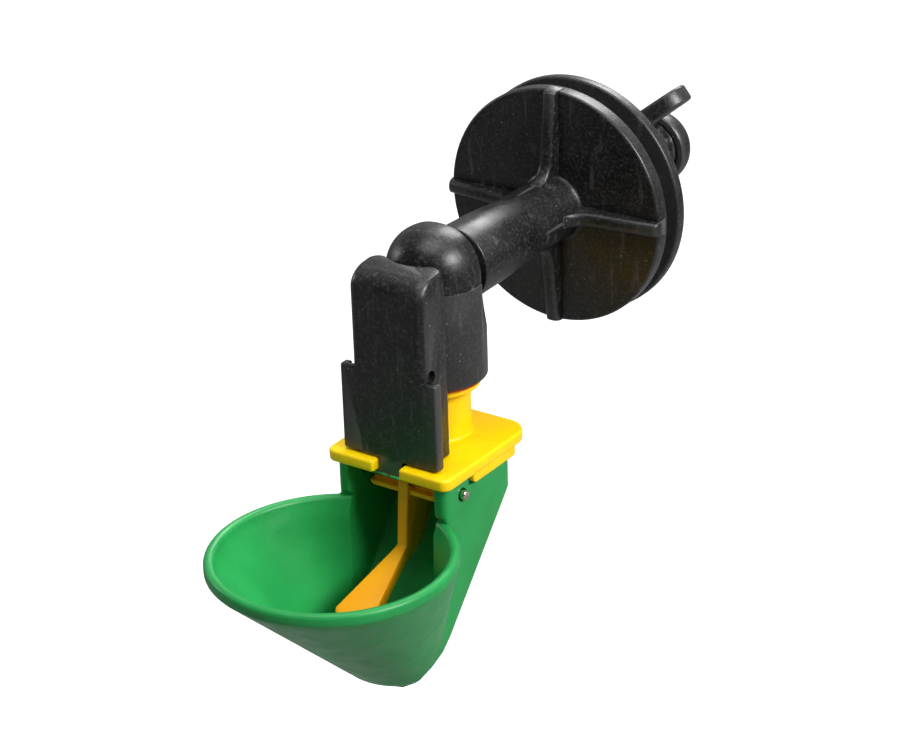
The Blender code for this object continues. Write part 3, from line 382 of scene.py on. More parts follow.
# Each coloured plastic: three shades, roughness, and how deep light wanders in it, with its spread by colour.
COLOURED = {
    "yellow": (YELLOW, YELLOW_PALE, YELLOW_DEEP, 0.36, 1.2 * MM, (1.0, 0.5, 0.05)),
    "green": (GREEN, GREEN_PALE, GREEN_DEEP, 0.38, 0.6 * MM, (0.2, 1.0, 0.3)),
    "orange": (ORANGE, ORANGE_PALE, ORANGE_DEEP, 0.42, 1.0 * MM, (1.0, 0.4, 0.05)),
}
RUBBERS = {"red": (RED, RED_WORN), "black": (RUBBER, RUBBER_WORN)}


def cutters(obj):
    """The objects that an object's Booleans use, and those that these use in turn."""
    tools = [change.object for change in obj.modifiers if change.type == "BOOLEAN"]
    for tool in list(tools):
        tools += cutters(tool)
    return tools


def finished(obj, bevel=0.0, segments=3, angle=BEVEL_ANGLE):
    """Applies an object's modifiers, rounds its hard edges and shades it smooth between them."""
    if bevel:
        rounding = obj.modifiers.new("Rounding", "BEVEL")
        rounding.width = bevel
        rounding.segments = segments
        rounding.limit_method = "ANGLE"
        rounding.angle_limit = radians(angle)
        rounding.use_clamp_overlap = True
    tools = cutters(obj)
    graph = bpy.context.evaluated_depsgraph_get()
    mesh = bpy.data.meshes.new_from_object(obj.evaluated_get(graph))
    obj.modifiers.clear()
    obj.data = mesh
    for tool in tools:
        bpy.data.objects.remove(tool)
    mesh.shade_smooth()
    mesh.set_sharp_from_angle(angle=SMOOTH_ANGLE)
    return obj


def new_object(name, bm):
    """Closes a bmesh into an object, faces out."""
    bmesh.ops.recalc_face_normals(bm, faces=bm.faces)
    mesh = bpy.data.meshes.new(name)
    bm.to_mesh(mesh)
    bm.free()
    obj = bpy.data.objects.new(name, mesh)
    bpy.context.scene.collection.objects.link(obj)
    return obj


def boolean(obj, tool, operation):
    change = obj.modifiers.new(f"{operation} {tool.name}".title(), "BOOLEAN")
    change.operation = operation
    change.object = tool
    change.solver = "EXACT"


def cut(obj, tool):
    boolean(obj, tool, "DIFFERENCE")


def join(obj, tool):
    boolean(obj, tool, "UNION")


def arc(across, along, radius, start, end, steps):
    """Points of an arc in a profile's own plane, angles in degrees."""
    turn = [radians(start + (end - start) * i / steps) for i in range(steps + 1)]
    return [(across + radius * cos(a), along + radius * sin(a)) for a in turn]


def low_corner(rim, low, radius, steps):
    """A quarter round at a profile's outer lower corner."""
    return arc(rim - radius, low + radius, radius, 270, 360, steps)


def high_corner(rim, high, radius, steps):
    """A quarter round at a profile's outer upper corner."""
    return arc(rim - radius, high - radius, radius, 0, 90, steps)


def mirrored(right):
    """The outline whose right half is given, from front to back."""
    return right + [(-x, y) for x, y in reversed(right)]


def quarter(steps):
    """Angles from 0 to a right angle."""
    return [pi / 2 * i / steps for i in range(steps + 1)]


def circle(steps):
    """Angles once round."""
    return [2 * pi * k / steps for k in range(steps)]


def clamped(value, least=0.0, most=1.0):
    return max(least, min(most, value))


def eased(share):
    """A smooth step from 0 to 1."""
    return share * share * (3 - 2 * share)


def upright(radius, angle, height):
    return Vector((radius * cos(angle), radius * sin(angle), height))


def lengthwise(radius, angle, height):
    return Vector((radius * cos(angle), height, radius * sin(angle)))


def crosswise(radius, angle, height):
    return Vector((height, radius * cos(angle), radius * sin(angle)))


ON_ARM = ((0, 0, 0), lengthwise)
ON_TUBE = ((0, TUBE_Y, 0), upright)
ON_PIN = ((0, PIN_Y, PIN_Z), crosswise)


def loft(rings, looped=False):
    """A bmesh through rings of points. A looped loft closes on itself, another gets end caps."""
    bm = bmesh.new()
    rows = [[bm.verts.new(point) for point in ring] for ring in rings]
    count = len(rows[0])
    spans = len(rows) if looped else len(rows) - 1
    for i in range(spans):
        low, high = rows[i], rows[(i + 1) % len(rows)]
        for k in range(count):
            after = (k + 1) % count
            bm.faces.new((low[k], low[after], high[after], high[k]))
    if not looped:
        bm.faces.new(rows[0])
        bm.faces.new(rows[-1])
    return bm


def turned(name, profile, centre, axis, steps, looped=False):
    """A turned solid from (radius, height) points. A looped profile leaves its bore open."""
    place = Vector(centre)
    rings = [[place + axis(radius, angle, height) for angle in circle(steps)] for radius, height in profile]
    return new_object(name, loft(rings, looped))


def rod(name, radius, low, high, centre, axis, steps):
    return turned(name, [(radius, low), (radius, high)], centre, axis, steps)


def prism(name, outline, depth, place):
    """A flat outline swept over a depth: place(u, v, w) turns outline and depth into a point."""
    rings = [[place(u, v, w) for u, v in outline] for w in depth]
    return new_object(name, loft(rings))


def plan(x, y, z):
    return Vector((x, y, z))


def side(y, z, x):
    return Vector((x, y, z))


def face_on(x, z, y):
    return Vector((x, y, z))


def box(name, low, high):
    outline = [(low[0], low[1]), (high[0], low[1]), (high[0], high[1]), (low[0], high[1])]
    return prism(name, outline, (low[2], high[2]), plan)


def thread_height(along, angle, start, end):
    """How far a thread stands above its root, from 0 to 1, faded out at both ends of its run."""
    phase = (along / THREAD_PITCH - angle / (2 * pi)) % 1.0
    crest = eased(clamped((THREAD_FLANK - abs(phase - 0.5)) / (THREAD_FLANK - THREAD_CREST)))
    fade = min(along - start, end - along) / (THREAD_PITCH / 3)
    return crest * clamped(fade)


def threaded_rings(start, end, run_start, run_end, root):
    """Rings of a threaded surface along Y."""
    rows = round((end - start) / (THREAD_PITCH / THREAD_ROWS))
    rings = []
    for i in range(rows + 1):
        along = start + (end - start) * i / rows
        rings.append([
            lengthwise(root + THREAD_DEPTH * thread_height(along, angle, run_start, run_end), angle, along)
            for angle in circle(ROUND)
        ])
    return rings


def rib_height(reach):
    """A rib's height over the disc at a distance from the arm's axis: a slope, then a sweep up the arm."""
    share = (DISC_RADIUS - reach) / (DISC_RADIUS - ARM_NECK_RADIUS)
    height = RIB_TIP_HEIGHT + (RIB_FOOT_HEIGHT - RIB_TIP_HEIGHT) * share
    into = ARM_NECK_RADIUS + RIB_SWEEP - reach
    if into > 0:
        height += RIB_SWEEP - sqrt(max(0.0, RIB_SWEEP**2 - into**2))
    return height


def rib(name, angle):
    """One rounded rib from inside the arm to just past the disc's rim."""
    neck, end = ARM_NECK_RADIUS, DISC_RADIUS + RIB_PROUD
    half = RIB_WIDTH / 2
    foot = (half * RIB_DRAFT, -DISC_THICK / 3)
    closer_at_the_arm = (0.02, 0.05, 0.1, 0.18, 0.28, 0.4, 0.55, 0.75, 1.0)
    sweep = [neck + RIB_SWEEP * share for share in closer_at_the_arm]
    reaches = [neck - 2 * PAST] + sweep + [(sweep[-1] + end) / 2]
    drops = {}
    for turn in quarter(EDGE_STEPS):
        drops[end - RIB_END_ROUND * (1 - sin(turn))] = RIB_END_DROP * RIB_TIP_HEIGHT * (1 - cos(turn))
    reaches += list(drops)
    turned_to = Matrix.Rotation(-angle, 4, "Y")
    rings = []
    for reach in reaches:
        top = -DISC_THICK - rib_height(max(reach, sweep[0])) + drops.get(reach, 0.0)
        right = [foot] + [
            (half * cos(turn) ** RIB_CROWN_FULLNESS, top + RIB_CROWN * half * (1 - sin(turn)))
            for turn in quarter(8)
        ]
        outline = right + [(-x, y) for x, y in right[-2::-1]]
        rings.append([turned_to @ Vector((reach, y, x)) for x, y in outline])
    return new_object(name, loft(rings))


def bracket_piece():
    """Front disc with its ribs, the arm and the hollow threaded tail, in one moulding."""
    profile = low_corner(ARM_END_RADIUS, ARM_END_Y, ARM_LIP, 5)
    steps = 14
    start = ARM_END_Y + ARM_STRAIGHT
    behind_lip = ARM_END_RADIUS - ARM_LIP / 2
    for i in range(steps + 1):
        share = i / steps
        radius = behind_lip + (ARM_NECK_RADIUS - behind_lip) * eased(share)
        profile.append((radius, start + (ARM_NECK_Y - start) * share))
    fillet = ARM_FOOT_RADIUS - ARM_NECK_RADIUS
    profile += [
        (ARM_FOOT_RADIUS - fillet * sin(turn), -DISC_THICK - fillet * (1 - cos(turn)) * 2)
        for turn in reversed(quarter(EDGE_STEPS))
    ]
    profile += low_corner(DISC_RADIUS, -DISC_THICK, DISC_EDGE, EDGE_STEPS)
    profile += high_corner(DISC_RADIUS, 0.0, DISC_EDGE, EDGE_STEPS)
    body = turned("bracket", profile, *ON_ARM, FINE)
    for k in range(4):
        join(body, rib(f"rib {k}", k * pi / 2))
    root = THREAD_RADIUS - THREAD_DEPTH
    rings = threaded_rings(-PAST, TAIL_LENGTH, THREAD_RELIEF, TAIL_LENGTH - THREAD_RUNOUT, root)
    tip = TAIL_LENGTH + NIPPLE_LENGTH
    nipple = [
        (NIPPLE_RADIUS, TAIL_LENGTH),
        (NIPPLE_RADIUS, tip - NIPPLE_CHAMFER_LENGTH),
        (NIPPLE_RADIUS - NIPPLE_CHAMFER, tip),
    ]
    rings += [[lengthwise(radius, angle, along) for angle in circle(ROUND)] for radius, along in nipple]
    join(body, new_object("tail", loft(rings)))
    socket = SPIGOT_RADIUS + GAP
    bottom = ARM_END_Y + SOCKET_DEPTH
    bore = [
        (socket, ARM_END_Y - PAST),
        (socket, bottom),
        (WATER_BORE, bottom + SOCKET_CONE),
        (WATER_BORE, tip + PAST),
    ]
    cut(body, turned("waterway", bore, *ON_ARM, ROUND))
    return finished(body)


def clamp_disc_piece():
    """The loose rear disc that the wing nut pulls forwards."""
    front, back = CLAMP_GAP, CLAMP_GAP + REAR_DISC_THICK
    hole = THREAD_RADIUS + HOLE_CLEARANCE
    profile = [(hole, front)]
    profile += low_corner(REAR_DISC_RADIUS, front, DISC_EDGE, EDGE_STEPS)
    profile += high_corner(REAR_DISC_RADIUS, back, DISC_EDGE, EDGE_STEPS)
    profile.append((hole, back))
    return finished(turned("rear_disc", profile, *ON_ARM, FINE, looped=True))


def wing(name, direction):
    """A flat wing with a round tip, set beside the nut's axis like a propeller blade."""
    root_y = NUT_FACE_Y + NUT_FLANGE_THICK - WING_EDGE
    far_y = root_y + NUT_LENGTH - NUT_FLANGE_THICK - WING_EDGE
    tip = (WING_REACH - WING_TIP_RADIUS, far_y - WING_TIP_RADIUS + WING_TIP_PAST)
    outline = [(0.0, root_y), (NUT_RADIUS, root_y + WING_EDGE)]
    outline += arc(*tip, WING_TIP_RADIUS, WING_TIP_START, 90, 24)
    outline += [(NUT_RADIUS, far_y), (0.0, far_y)]
    along = Vector((cos(WING_ANGLE), 0, sin(WING_ANGLE))) * direction
    across = Vector((-sin(WING_ANGLE), 0, cos(WING_ANGLE))) * direction

    def place(u, v, w):
        return along * u + across * w + Vector((0, v, 0))

    depth = (WING_OFFSET - WING_THICK / 2, WING_OFFSET + WING_THICK / 2)
    return finished(prism(name, outline, depth, place), WING_EDGE, 4)


def wing_nut_piece():
    """The nut that clamps the rear disc: flange, threaded barrel and two wings."""
    back = NUT_FACE_Y + NUT_LENGTH
    edge = NUT_EDGE
    shoulder = NUT_FACE_Y + NUT_FLANGE_THICK
    profile = low_corner(NUT_FLANGE_RADIUS, NUT_FACE_Y, edge, 4)
    profile += [
        (NUT_FLANGE_RADIUS, shoulder - edge / 2),
        (NUT_FLANGE_RADIUS - edge / 2, shoulder),
        (NUT_RADIUS + edge, shoulder + NUT_FLANGE_SLOPE),
        (NUT_RADIUS, shoulder + NUT_FOOT),
    ]
    profile += high_corner(NUT_RADIUS, back, 2 * edge, EDGE_STEPS)
    nut = turned("clamp_wing_nut", profile, *ON_ARM, ROUND)
    for direction in (1, -1):
        join(nut, wing(f"wing {direction}", direction))
    root = THREAD_RADIUS - THREAD_DEPTH + GAP
    rings = threaded_rings(NUT_FACE_Y - PAST, back + PAST, -TAIL_LENGTH, 2 * TAIL_LENGTH, root)
    cut(nut, new_object("nut thread", loft(rings)))
    return finished(nut)


def hose_nut_piece():
    """The round nut at the tail's end that holds the hose on its nipple."""
    front, back = HOSE_NUT_Y, HOSE_NUT_Y + HOSE_NUT_LENGTH
    turn, end = HOSE_NUT_ROUND, HOSE_NUT_ROUND_END
    profile = [(HOSE_NUT_RADIUS - HOSE_NUT_CHAMFER, front)]
    profile.append((HOSE_NUT_RADIUS, front + HOSE_NUT_CHAMFER_LENGTH))
    profile += arc(HOSE_NUT_RADIUS - turn, back - turn * sin(radians(end)), turn, 0, end, 12)
    nut = turned("hose_cap_nut", profile, *ON_ARM, ROUND)
    inside = back - NUT_CAP_THICK
    bore = [
        (THREAD_RADIUS + GAP, front - PAST),
        (THREAD_RADIUS + GAP, inside),
        (HOSE_RADIUS, inside),
        (HOSE_RADIUS, back + PAST),
    ]
    cut(nut, turned("hose nut bore", bore, *ON_ARM, ROUND))
    return finished(nut)


def elbow_piece():
    """The domed drop tube with a narrower boss behind it and the spigot that plugs into the arm."""
    dome = TUBE_RADIUS - DOME_STEP
    edge = DOME_STEP_EDGE
    profile = low_corner(TUBE_RADIUS, TUBE_BOTTOM, TUBE_LIP, 5)
    profile += [(TUBE_RADIUS, DOME_BASE - 2 * edge), (TUBE_RADIUS - edge, DOME_BASE)]
    profile.append((dome, DOME_BASE + edge))
    for x, z in arc(0, 0, 1.0, 0, DOME_END, 28):
        profile.append((dome * x**DOME_FULLNESS, DOME_CENTRE + dome * z**DOME_FULLNESS))
    body = turned("elbow_shell", profile, *ON_TUBE, FINE)
    far = SHELL_CUT
    drop = DOME_BASE - SHELL_FOOT
    rear = [(SHELL_BACK, far)]
    for i in range(SHELL_STEPS + 1):
        share = i / SHELL_STEPS
        rear.append((SHELL_BACK + SHELL_SWEEP * share**2, DOME_BASE - drop * share))
    rear += [(SHELL_BACK + far, SHELL_FOOT), (SHELL_BACK + far, far)]
    cut(body, prism("shell back", rear, (-far, far), side))
    finished(body, SHELL_EDGE, 2, 50)
    foot = SHELL_FOOT - BOSS_OVERLAP
    outline = arc(0, DOME_CENTRE, BOSS_RADIUS, 0, 180, 40) + [(-BOSS_RADIUS, foot), (BOSS_RADIUS, foot)]
    join(body, prism("boss", outline, (TUBE_Y, BOSS_BACK), face_on))
    end = ARM_END_Y + SOCKET_DEPTH - GAP
    spigot = [
        (SPIGOT_RADIUS, BOSS_BACK - BOSS_OVERLAP),
        (SPIGOT_RADIUS, end - SPIGOT_CHAMFER),
        (SPIGOT_RADIUS - SPIGOT_CHAMFER, end),
    ]
    join(body, turned("elbow spigot", spigot, *ON_ARM, ROUND))
    down = [
        (TUBE_BORE, TUBE_BOTTOM - PAST),
        (TUBE_BORE, TUBE_STEP),
        (TUBE_PASSAGE, TUBE_STEP),
        (TUBE_PASSAGE, TUBE_PASSAGE_TOP - TUBE_PASSAGE / 3),
        (TUBE_PASSAGE / 3, TUBE_PASSAGE_TOP),
    ]
    cut(body, turned("drop bore", down, *ON_TUBE, ROUND))
    cut(body, rod("arm bore", WATER_BORE, TUBE_Y, end + PAST, *ON_ARM, SMALL))
    return finished(body)


def collar_top():
    return TUBE_BOTTOM - COLLAR_SEAL_THICK - 2 * SEAL_GAP


def plate_outline():
    """The plate's outline: small front corners and large rear ones."""
    right = low_corner(PLATE_HALF_WIDTH, PLATE_FRONT, PLATE_CORNER, 12)
    return mirrored(right + high_corner(PLATE_HALF_WIDTH, PLATE_REAR, PLATE_REAR_CORNER, 16))


def skirt_outline(half, rear, front):
    """The U that the skirt follows round the cup's housing."""
    return mirrored([(half, front)] + high_corner(half, rear, HOUSING_CORNER, 12))


def skirt_corner(low):
    """What is cut away to round the skirt's lower front corners."""
    far, before, under = PLATE_HALF_WIDTH + PAST, SKIRT_FRONT - PAST, low - PAST
    y, z = SKIRT_FRONT + SKIRT_CORNER, low + SKIRT_CORNER
    outline = [(before, z), (before, under), (y, under)] + arc(y, z, SKIRT_CORNER, 270, 180, 10)
    return prism("skirt corner", outline, (-far, far), side)


def tower_profile():
    """The neck with its foot, the collar and the grooved spigot, as (radius, height) points."""
    top = collar_top()
    low = top - COLLAR_THICK
    groove = BODY_SPIGOT_RADIUS - GROOVE_DEPTH
    reach = O_RING_WIRE + SEAL_GAP
    seal = (BODY_SPIGOT_TOP + top) / 2
    edge, under = COLLAR_EDGE, COLLAR_UNDERCUT
    profile = [(NECK_RADIUS + NECK_FOOT, PLATE_TOP - PAST)]
    profile += [
        (NECK_RADIUS + NECK_FOOT * (1 - sin(turn)), PLATE_TOP + NECK_FOOT * (1 - cos(turn)))
        for turn in quarter(EDGE_STEPS)
    ]
    profile += [(NECK_RADIUS + out, low - down) for out, down in COLLAR_FLARE]
    profile.append((COLLAR_RADIUS - edge - COLLAR_UNDERCUT_INSET, low))
    profile += arc(COLLAR_RADIUS - edge, low + edge + under, edge, 290, 360, 4)
    return profile + [
        (COLLAR_RADIUS, top),
        (BODY_SPIGOT_RADIUS, top),
        (BODY_SPIGOT_RADIUS, seal - reach),
        (groove, seal - reach),
        (groove, seal + reach),
        (BODY_SPIGOT_RADIUS, seal + reach),
        (BODY_SPIGOT_RADIUS, BODY_SPIGOT_TOP - BODY_SPIGOT_CHAMFER),
        (BODY_SPIGOT_RADIUS - BODY_SPIGOT_CHAMFER, BODY_SPIGOT_TOP),
    ]


def valve_body_piece():
    """The yellow valve body: slotted plate, skirt, neck, collar and spigot, bored for the valve."""
    bottom = PLATE_TOP - PLATE_THICK
    low = bottom - SKIRT_DROP
    body = prism("yellow_body", plate_outline(), (bottom, PLATE_TOP), plan)
    near = (-SLOT_HALF_WIDTH, PLATE_FRONT - 2 * PAST, bottom - PAST)
    cut(body, box("slot", near, (SLOT_HALF_WIDTH, PLATE_FRONT + SLOT_DEPTH, PLATE_TOP + PAST)))
    finished(body, PLATE_EDGE, 4)
    outer = skirt_outline(PLATE_HALF_WIDTH - SKIRT_EDGE, SKIRT_REAR, SKIRT_FRONT)
    inner = skirt_outline(PLATE_HALF_WIDTH - SKIRT_THICK, SKIRT_REAR - SKIRT_THICK, SKIRT_FRONT - 2 * PAST)
    skirt = prism("skirt", outer, (low, bottom + PAST), plan)
    cut(skirt, skirt_corner(low))
    finished(skirt, SKIRT_EDGE, 3, 60)
    cut(skirt, prism("skirt inside", inner, (bottom - 2 * SKIRT_DROP, bottom), plan))
    join(body, skirt)
    join(body, turned("tower", tower_profile(), *ON_TUBE, ROUND))
    bore = [
        (OUTLET_RADIUS, low - PAST),
        (OUTLET_RADIUS, VALVE_FLOOR),
        (VALVE_BORE, VALVE_FLOOR),
        (VALVE_BORE, BODY_SPIGOT_TOP + PAST),
    ]
    cut(body, turned("valve bore", bore, *ON_TUBE, ROUND))
    return finished(body)


def lock_outline(side_inset, front_inset, height, rise):
    """The block's outline at one height, which rises towards its back."""
    half = LOCK_HALF - side_inset
    right = low_corner(half, LOCK_FRONT + front_inset, LOCK_CORNER, 10)
    right += high_corner(half, LOCK_BACK - side_inset, LOCK_CORNER, 10)
    slope = rise / (LOCK_BACK - LOCK_FRONT)
    return [Vector((x, y, height + slope * (y - LOCK_FRONT))) for x, y in mirrored(right)]


def lock_block_piece():
    """The block in front of the drop tube: upright body, two finger wings and the tongue."""
    rest = PLATE_TOP + GAP
    edge = LOCK_FOOT_EDGE
    rings = [lock_outline(edge, edge, rest, 0.0), lock_outline(0.0, 0.0, rest + edge, 0.0)]
    for turn in quarter(12):
        lift, sink = sin(turn), 1 - cos(turn)
        height = LOCK_TOP - LOCK_BROW * (1 - lift)
        rings.append(lock_outline(LOCK_TOP_EDGE * sink, LOCK_BROW * sink, height, LOCK_RISE * lift))
    body = new_object("front_block", loft(rings))
    recess = TUBE_RADIUS + RECESS_GAP
    top = LOCK_TOP + LOCK_RISE + PAST
    cut(body, rod("tube recess", recess, rest - PAST, top, *ON_TUBE, FINE))
    finished(body, LOCK_EDGE, 3, 45)
    back = LOCK_FRONT + LOCK_WING_THICK
    low = (-LOCK_WING_HALF, LOCK_FRONT, rest)
    wings = box("finger wings", low, (LOCK_WING_HALF, back, LOCK_SHOULDER))
    join(body, finished(wings, LOCK_WING_EDGE, 4))
    half = SLOT_HALF_WIDTH - GAP
    low = (-half, LOCK_FRONT, PLATE_TOP - PLATE_THICK - TONGUE_DROP)
    tongue = box("tongue", low, (half, LOCK_FRONT + TONGUE_THICK, rest + 2 * PAST))
    join(body, finished(tongue, TONGUE_EDGE, 2))
    place = (0, back + LOCK_NOTCH_SET, LOCK_SHOULDER + LOCK_NOTCH * LOCK_NOTCH_RISE)
    for direction in (1, -1):
        depth = sorted((direction * (LOCK_HALF - PAST), direction * (LOCK_HALF + PAST)))
        cut(body, rod(f"notch {direction}", LOCK_NOTCH, *depth, place, crosswise, SMALL))
    return finished(body)


def cup_section(height, inner):
    """Cone depth, half width and centre, housing half width and back at one height, outside or inside."""
    share = (height - APEX_Z) / (CONE_TOP - APEX_Z)
    below = max(0.0, HOUSING_KNEE - height)
    radius = CONE_RADIUS * share - (CONE_WALL if inner else 0.0)
    wide = radius + CONE_BULGE * (1 - share) ** 2
    centre = APEX_Y + (CONE_TOP_Y - APEX_Y) * share
    half = HOUSING_HALF - HOUSING_TAPER * below - (CUP_WALL if inner else 0.0)
    back = HOUSING_REAR - below / REAR_SLOPE - (REAR_WALL if inner else 0.0)
    return radius, wide, centre, half, back


def cup_outline(radius, wide, centre, half, back, corner, height, pinch=1.0, narrow=1.0):
    """A ring round the cup: the cone's arc, a side wall, the rear corner and the rear wall, twice.

    pinch draws the front and the back together, narrow the sides, to that share of their distance.
    """
    depth = back - centre + radius
    half = min(half, CREASE_SHARE * wide)
    corner = min(corner, CORNER_WIDTH_SHARE * half, CORNER_SHARE * depth)
    reach = back - corner - CORNER_LEAST
    crease = acos(half / wide)
    limit = asin(clamped((reach - centre) / radius, -CREASE_LIMIT, CREASE_LIMIT))
    if limit < crease:
        crease = limit
        half = wide * cos(crease)
    points = []
    for i in range(ARC_STEPS + 1):
        angle = -pi / 2 + (crease + pi / 2) * i / ARC_STEPS
        points.append((wide * cos(angle), centre + radius * sin(angle)))
    start_y = points[-1][1]
    corner_y = back - corner
    points.append((half, start_y + (corner_y - start_y) / 2))
    points += high_corner(half, back, corner, 8)
    points.append((0.0, back))
    other = [(-x, y) for x, y in reversed(points[1:-1])]
    middle = (centre - radius + back) / 2
    return [Vector((x * narrow, middle + (y - middle) * pinch, height)) for x, y in points + other]


def keel(inner):
    """Height where the cone's front line meets the sloping rear wall, and both lines' slopes."""
    radius, _, centre, _, back = cup_section(HOUSING_KNEE, inner)
    front_slope = (CONE_TOP_Y - CONE_RADIUS - APEX_Y) / (CONE_TOP - APEX_Z)
    rear_slope = 1 / REAR_SLOPE
    drop = (back - centre + radius) / (rear_slope - front_slope)
    return HOUSING_KNEE - drop, front_slope, rear_slope


def cup_levels(inner, keel_radius):
    """Rings of the cup's outer or inner skin from the cone's top down, closed by a rounded keel."""
    point, front_slope, rear_slope = keel(inner)
    front_lean, rear_lean = atan(-front_slope), atan(rear_slope)
    centre_z = point + keel_radius / sin((front_lean + rear_lean) / 2)
    start = centre_z - keel_radius * sin(min(front_lean, rear_lean)) * KEEL_START
    levels = [(CONE_TOP + (start - CONE_TOP) * i / CONE_RINGS, 1.0, 1.0) for i in range(CONE_RINGS)]
    for turn in quarter(KEEL_RINGS)[:-1]:
        share = sin(turn) * KEEL_END
        z = start + (centre_z - keel_radius - start) * share
        gap = (z - point) * (rear_slope - front_slope)
        chord = 2 * sqrt(max(0.0, keel_radius**2 - (z - centre_z) ** 2))
        levels.append((z, min(1.0, chord / gap), sqrt(1 - KEEL_ROUND * share**2)))
    corner = INNER_CORNER if inner else HOUSING_CORNER
    return [cup_outline(*cup_section(z, inner), corner, z, pinch, narrow) for z, pinch, narrow in levels]


def rim_rings(outside):
    """Rings of the rim's rounded lip, from its crest down the outside or the inside."""
    crest = RIM_RADIUS - RIM_LIP
    corner, end, shift = INNER_CORNER, RIM_INNER, RIM_SHIFT
    if outside:
        corner, end, shift = HOUSING_CORNER, RIM_RADIUS, 0.0
    rings = []
    for i in range(RIM_RINGS):
        turn = pi / 2 * (i + shift) / (RIM_RINGS - 1 + RIM_SHIFT)
        rings.append((crest + (end - crest) * sin(turn), RIM_LIP * (1 - cos(turn))))
    if outside:
        rings += [(RIM_RADIUS - inset, depth) for inset, depth in RIM_FOOT]
    return [
        cup_outline(r, r, RIM_Y, *cup_section(RIM_TOP - h, not outside)[3:], corner, RIM_TOP - h)
        for r, h in rings
    ]


def housing_columns(bm, skins, top):
    """Vertices from the rim up to the housing's top, by place in the ring, outside and inside."""
    count = len(skins[0])
    wall = range(ARC_STEPS, count - ARC_STEPS + 1)
    climbs = [WALL_FOOT * (i + 1) / WALL_FOOT_STEPS for i in range(WALL_FOOT_STEPS)] + [top - RIM_TOP]
    columns = ({}, {})
    for k in wall:
        edge = k in (wall[0], wall[-1])
        for skin, sides, lean in zip(skins, columns, (0.0, HOUSING_LEAN)):
            x, y = skin[k].co.xy
            sides[k] = [skin[k]]
            for climb in climbs:
                shift = lean * eased(clamped(climb / WALL_FOOT)) if edge else 0.0
                sides[k].append(bm.verts.new((x, y - shift, RIM_TOP + climb)))
    return columns


def cup_shell():
    """The cup's closed skin: cone and keel inside and out, the rim, and the housing's walls."""
    bm = bmesh.new()
    weight = bm.edges.layers.float.new("bevel_weight_edge")
    outer = rim_rings(True) + cup_levels(False, KEEL_RADIUS)
    inner = rim_rings(False) + cup_levels(True, KEEL_RADIUS - PAST)
    both = [[[bm.verts.new(point) for point in ring] for ring in rings] for rings in (outer, inner)]
    count = len(outer[0])
    for rows in both:
        for upper, lower in zip(rows, rows[1:]):
            for k in range(count):
                after = (k + 1) % count
                bm.faces.new((upper[k], upper[after], lower[after], lower[k]))
        bm.faces.new(rows[-1])
    out_rim, in_rim = both[0][0], both[1][0]
    outs, ins = housing_columns(bm, (out_rim, in_rim), PLATE_TOP - PLATE_THICK - GAP)
    for k in range(count):
        after = (k + 1) % count
        if k in outs and after in outs:
            for sides in (outs, ins):
                here, there = sides[k], sides[after]
                for i in range(len(here) - 1):
                    bm.faces.new((here[i], there[i], there[i + 1], here[i + 1]))
            bm.faces.new((outs[k][-1], outs[after][-1], ins[after][-1], ins[k][-1]))
        else:
            bm.faces.new((out_rim[k], out_rim[after], in_rim[after], in_rim[k]))
    for k in (min(outs), max(outs)):
        for i in range(len(outs[k]) - 1):
            low, high, in_low, in_high = outs[k][i], outs[k][i + 1], ins[k][i], ins[k][i + 1]
            bm.faces.new((low, high, in_high, in_low))
            bm.edges.get((low, high))[weight] = 1.0
            bm.edges.get((in_low, in_high))[weight] = WALL_EDGE_INSIDE
    return new_object("green_cup", bm)


def cup_piece():
    """The green cup: a cone cut by a sloping rear wall, and the open housing that hangs it."""
    body = cup_shell()
    rounding = body.modifiers.new("Wall edges", "BEVEL")
    rounding.limit_method = "WEIGHT"
    rounding.width = WALL_EDGE
    rounding.segments = 6
    top = PLATE_TOP - PLATE_THICK - GAP
    low = PLATE_TOP - PLATE_THICK - SKIRT_DROP - GAP
    clear = PLATE_HALF_WIDTH - SKIRT_THICK - GAP
    outside = skirt_outline(PLATE_HALF_WIDTH + PAST, SKIRT_REAR + PAST, SKIRT_FRONT - GAP)
    inside = skirt_outline(clear, SKIRT_REAR - SKIRT_THICK - GAP, SKIRT_FRONT - 2 * PAST)
    rebate = prism("rebate", outside, (low, top + PAST), plan)
    cut(rebate, prism("rebate core", inside, (low - PAST, top + 2 * PAST), plan))
    cut(body, rebate)
    cut(body, pin_bore())
    return finished(body)


def pin_bore():
    """What is cut out of the cup and the lever for the pin."""
    far = HOUSING_HALF + 3 * PAST
    return rod("pin bore", PIN_RADIUS + GAP, -far, far, *ON_PIN, SMALL)


def pin_piece():
    """The cut and lightly peened steel pin."""
    end = HOUSING_HALF + PIN_PROUD
    edge, face = PIN_RADIUS - PIN_EDGE, PIN_FACE * PIN_RADIUS
    profile = [(face, -end + PIN_DISH)]
    profile += arc(edge, -end + PIN_EDGE, PIN_EDGE, 270 - PIN_CURL, 360, EDGE_STEPS)
    profile += arc(edge, end - PIN_EDGE, PIN_EDGE, 0, 90 + PIN_CURL, EDGE_STEPS)
    profile.append((face, end - PIN_DISH))
    return finished(turned("steel_pin", profile, *ON_PIN, SMALL))


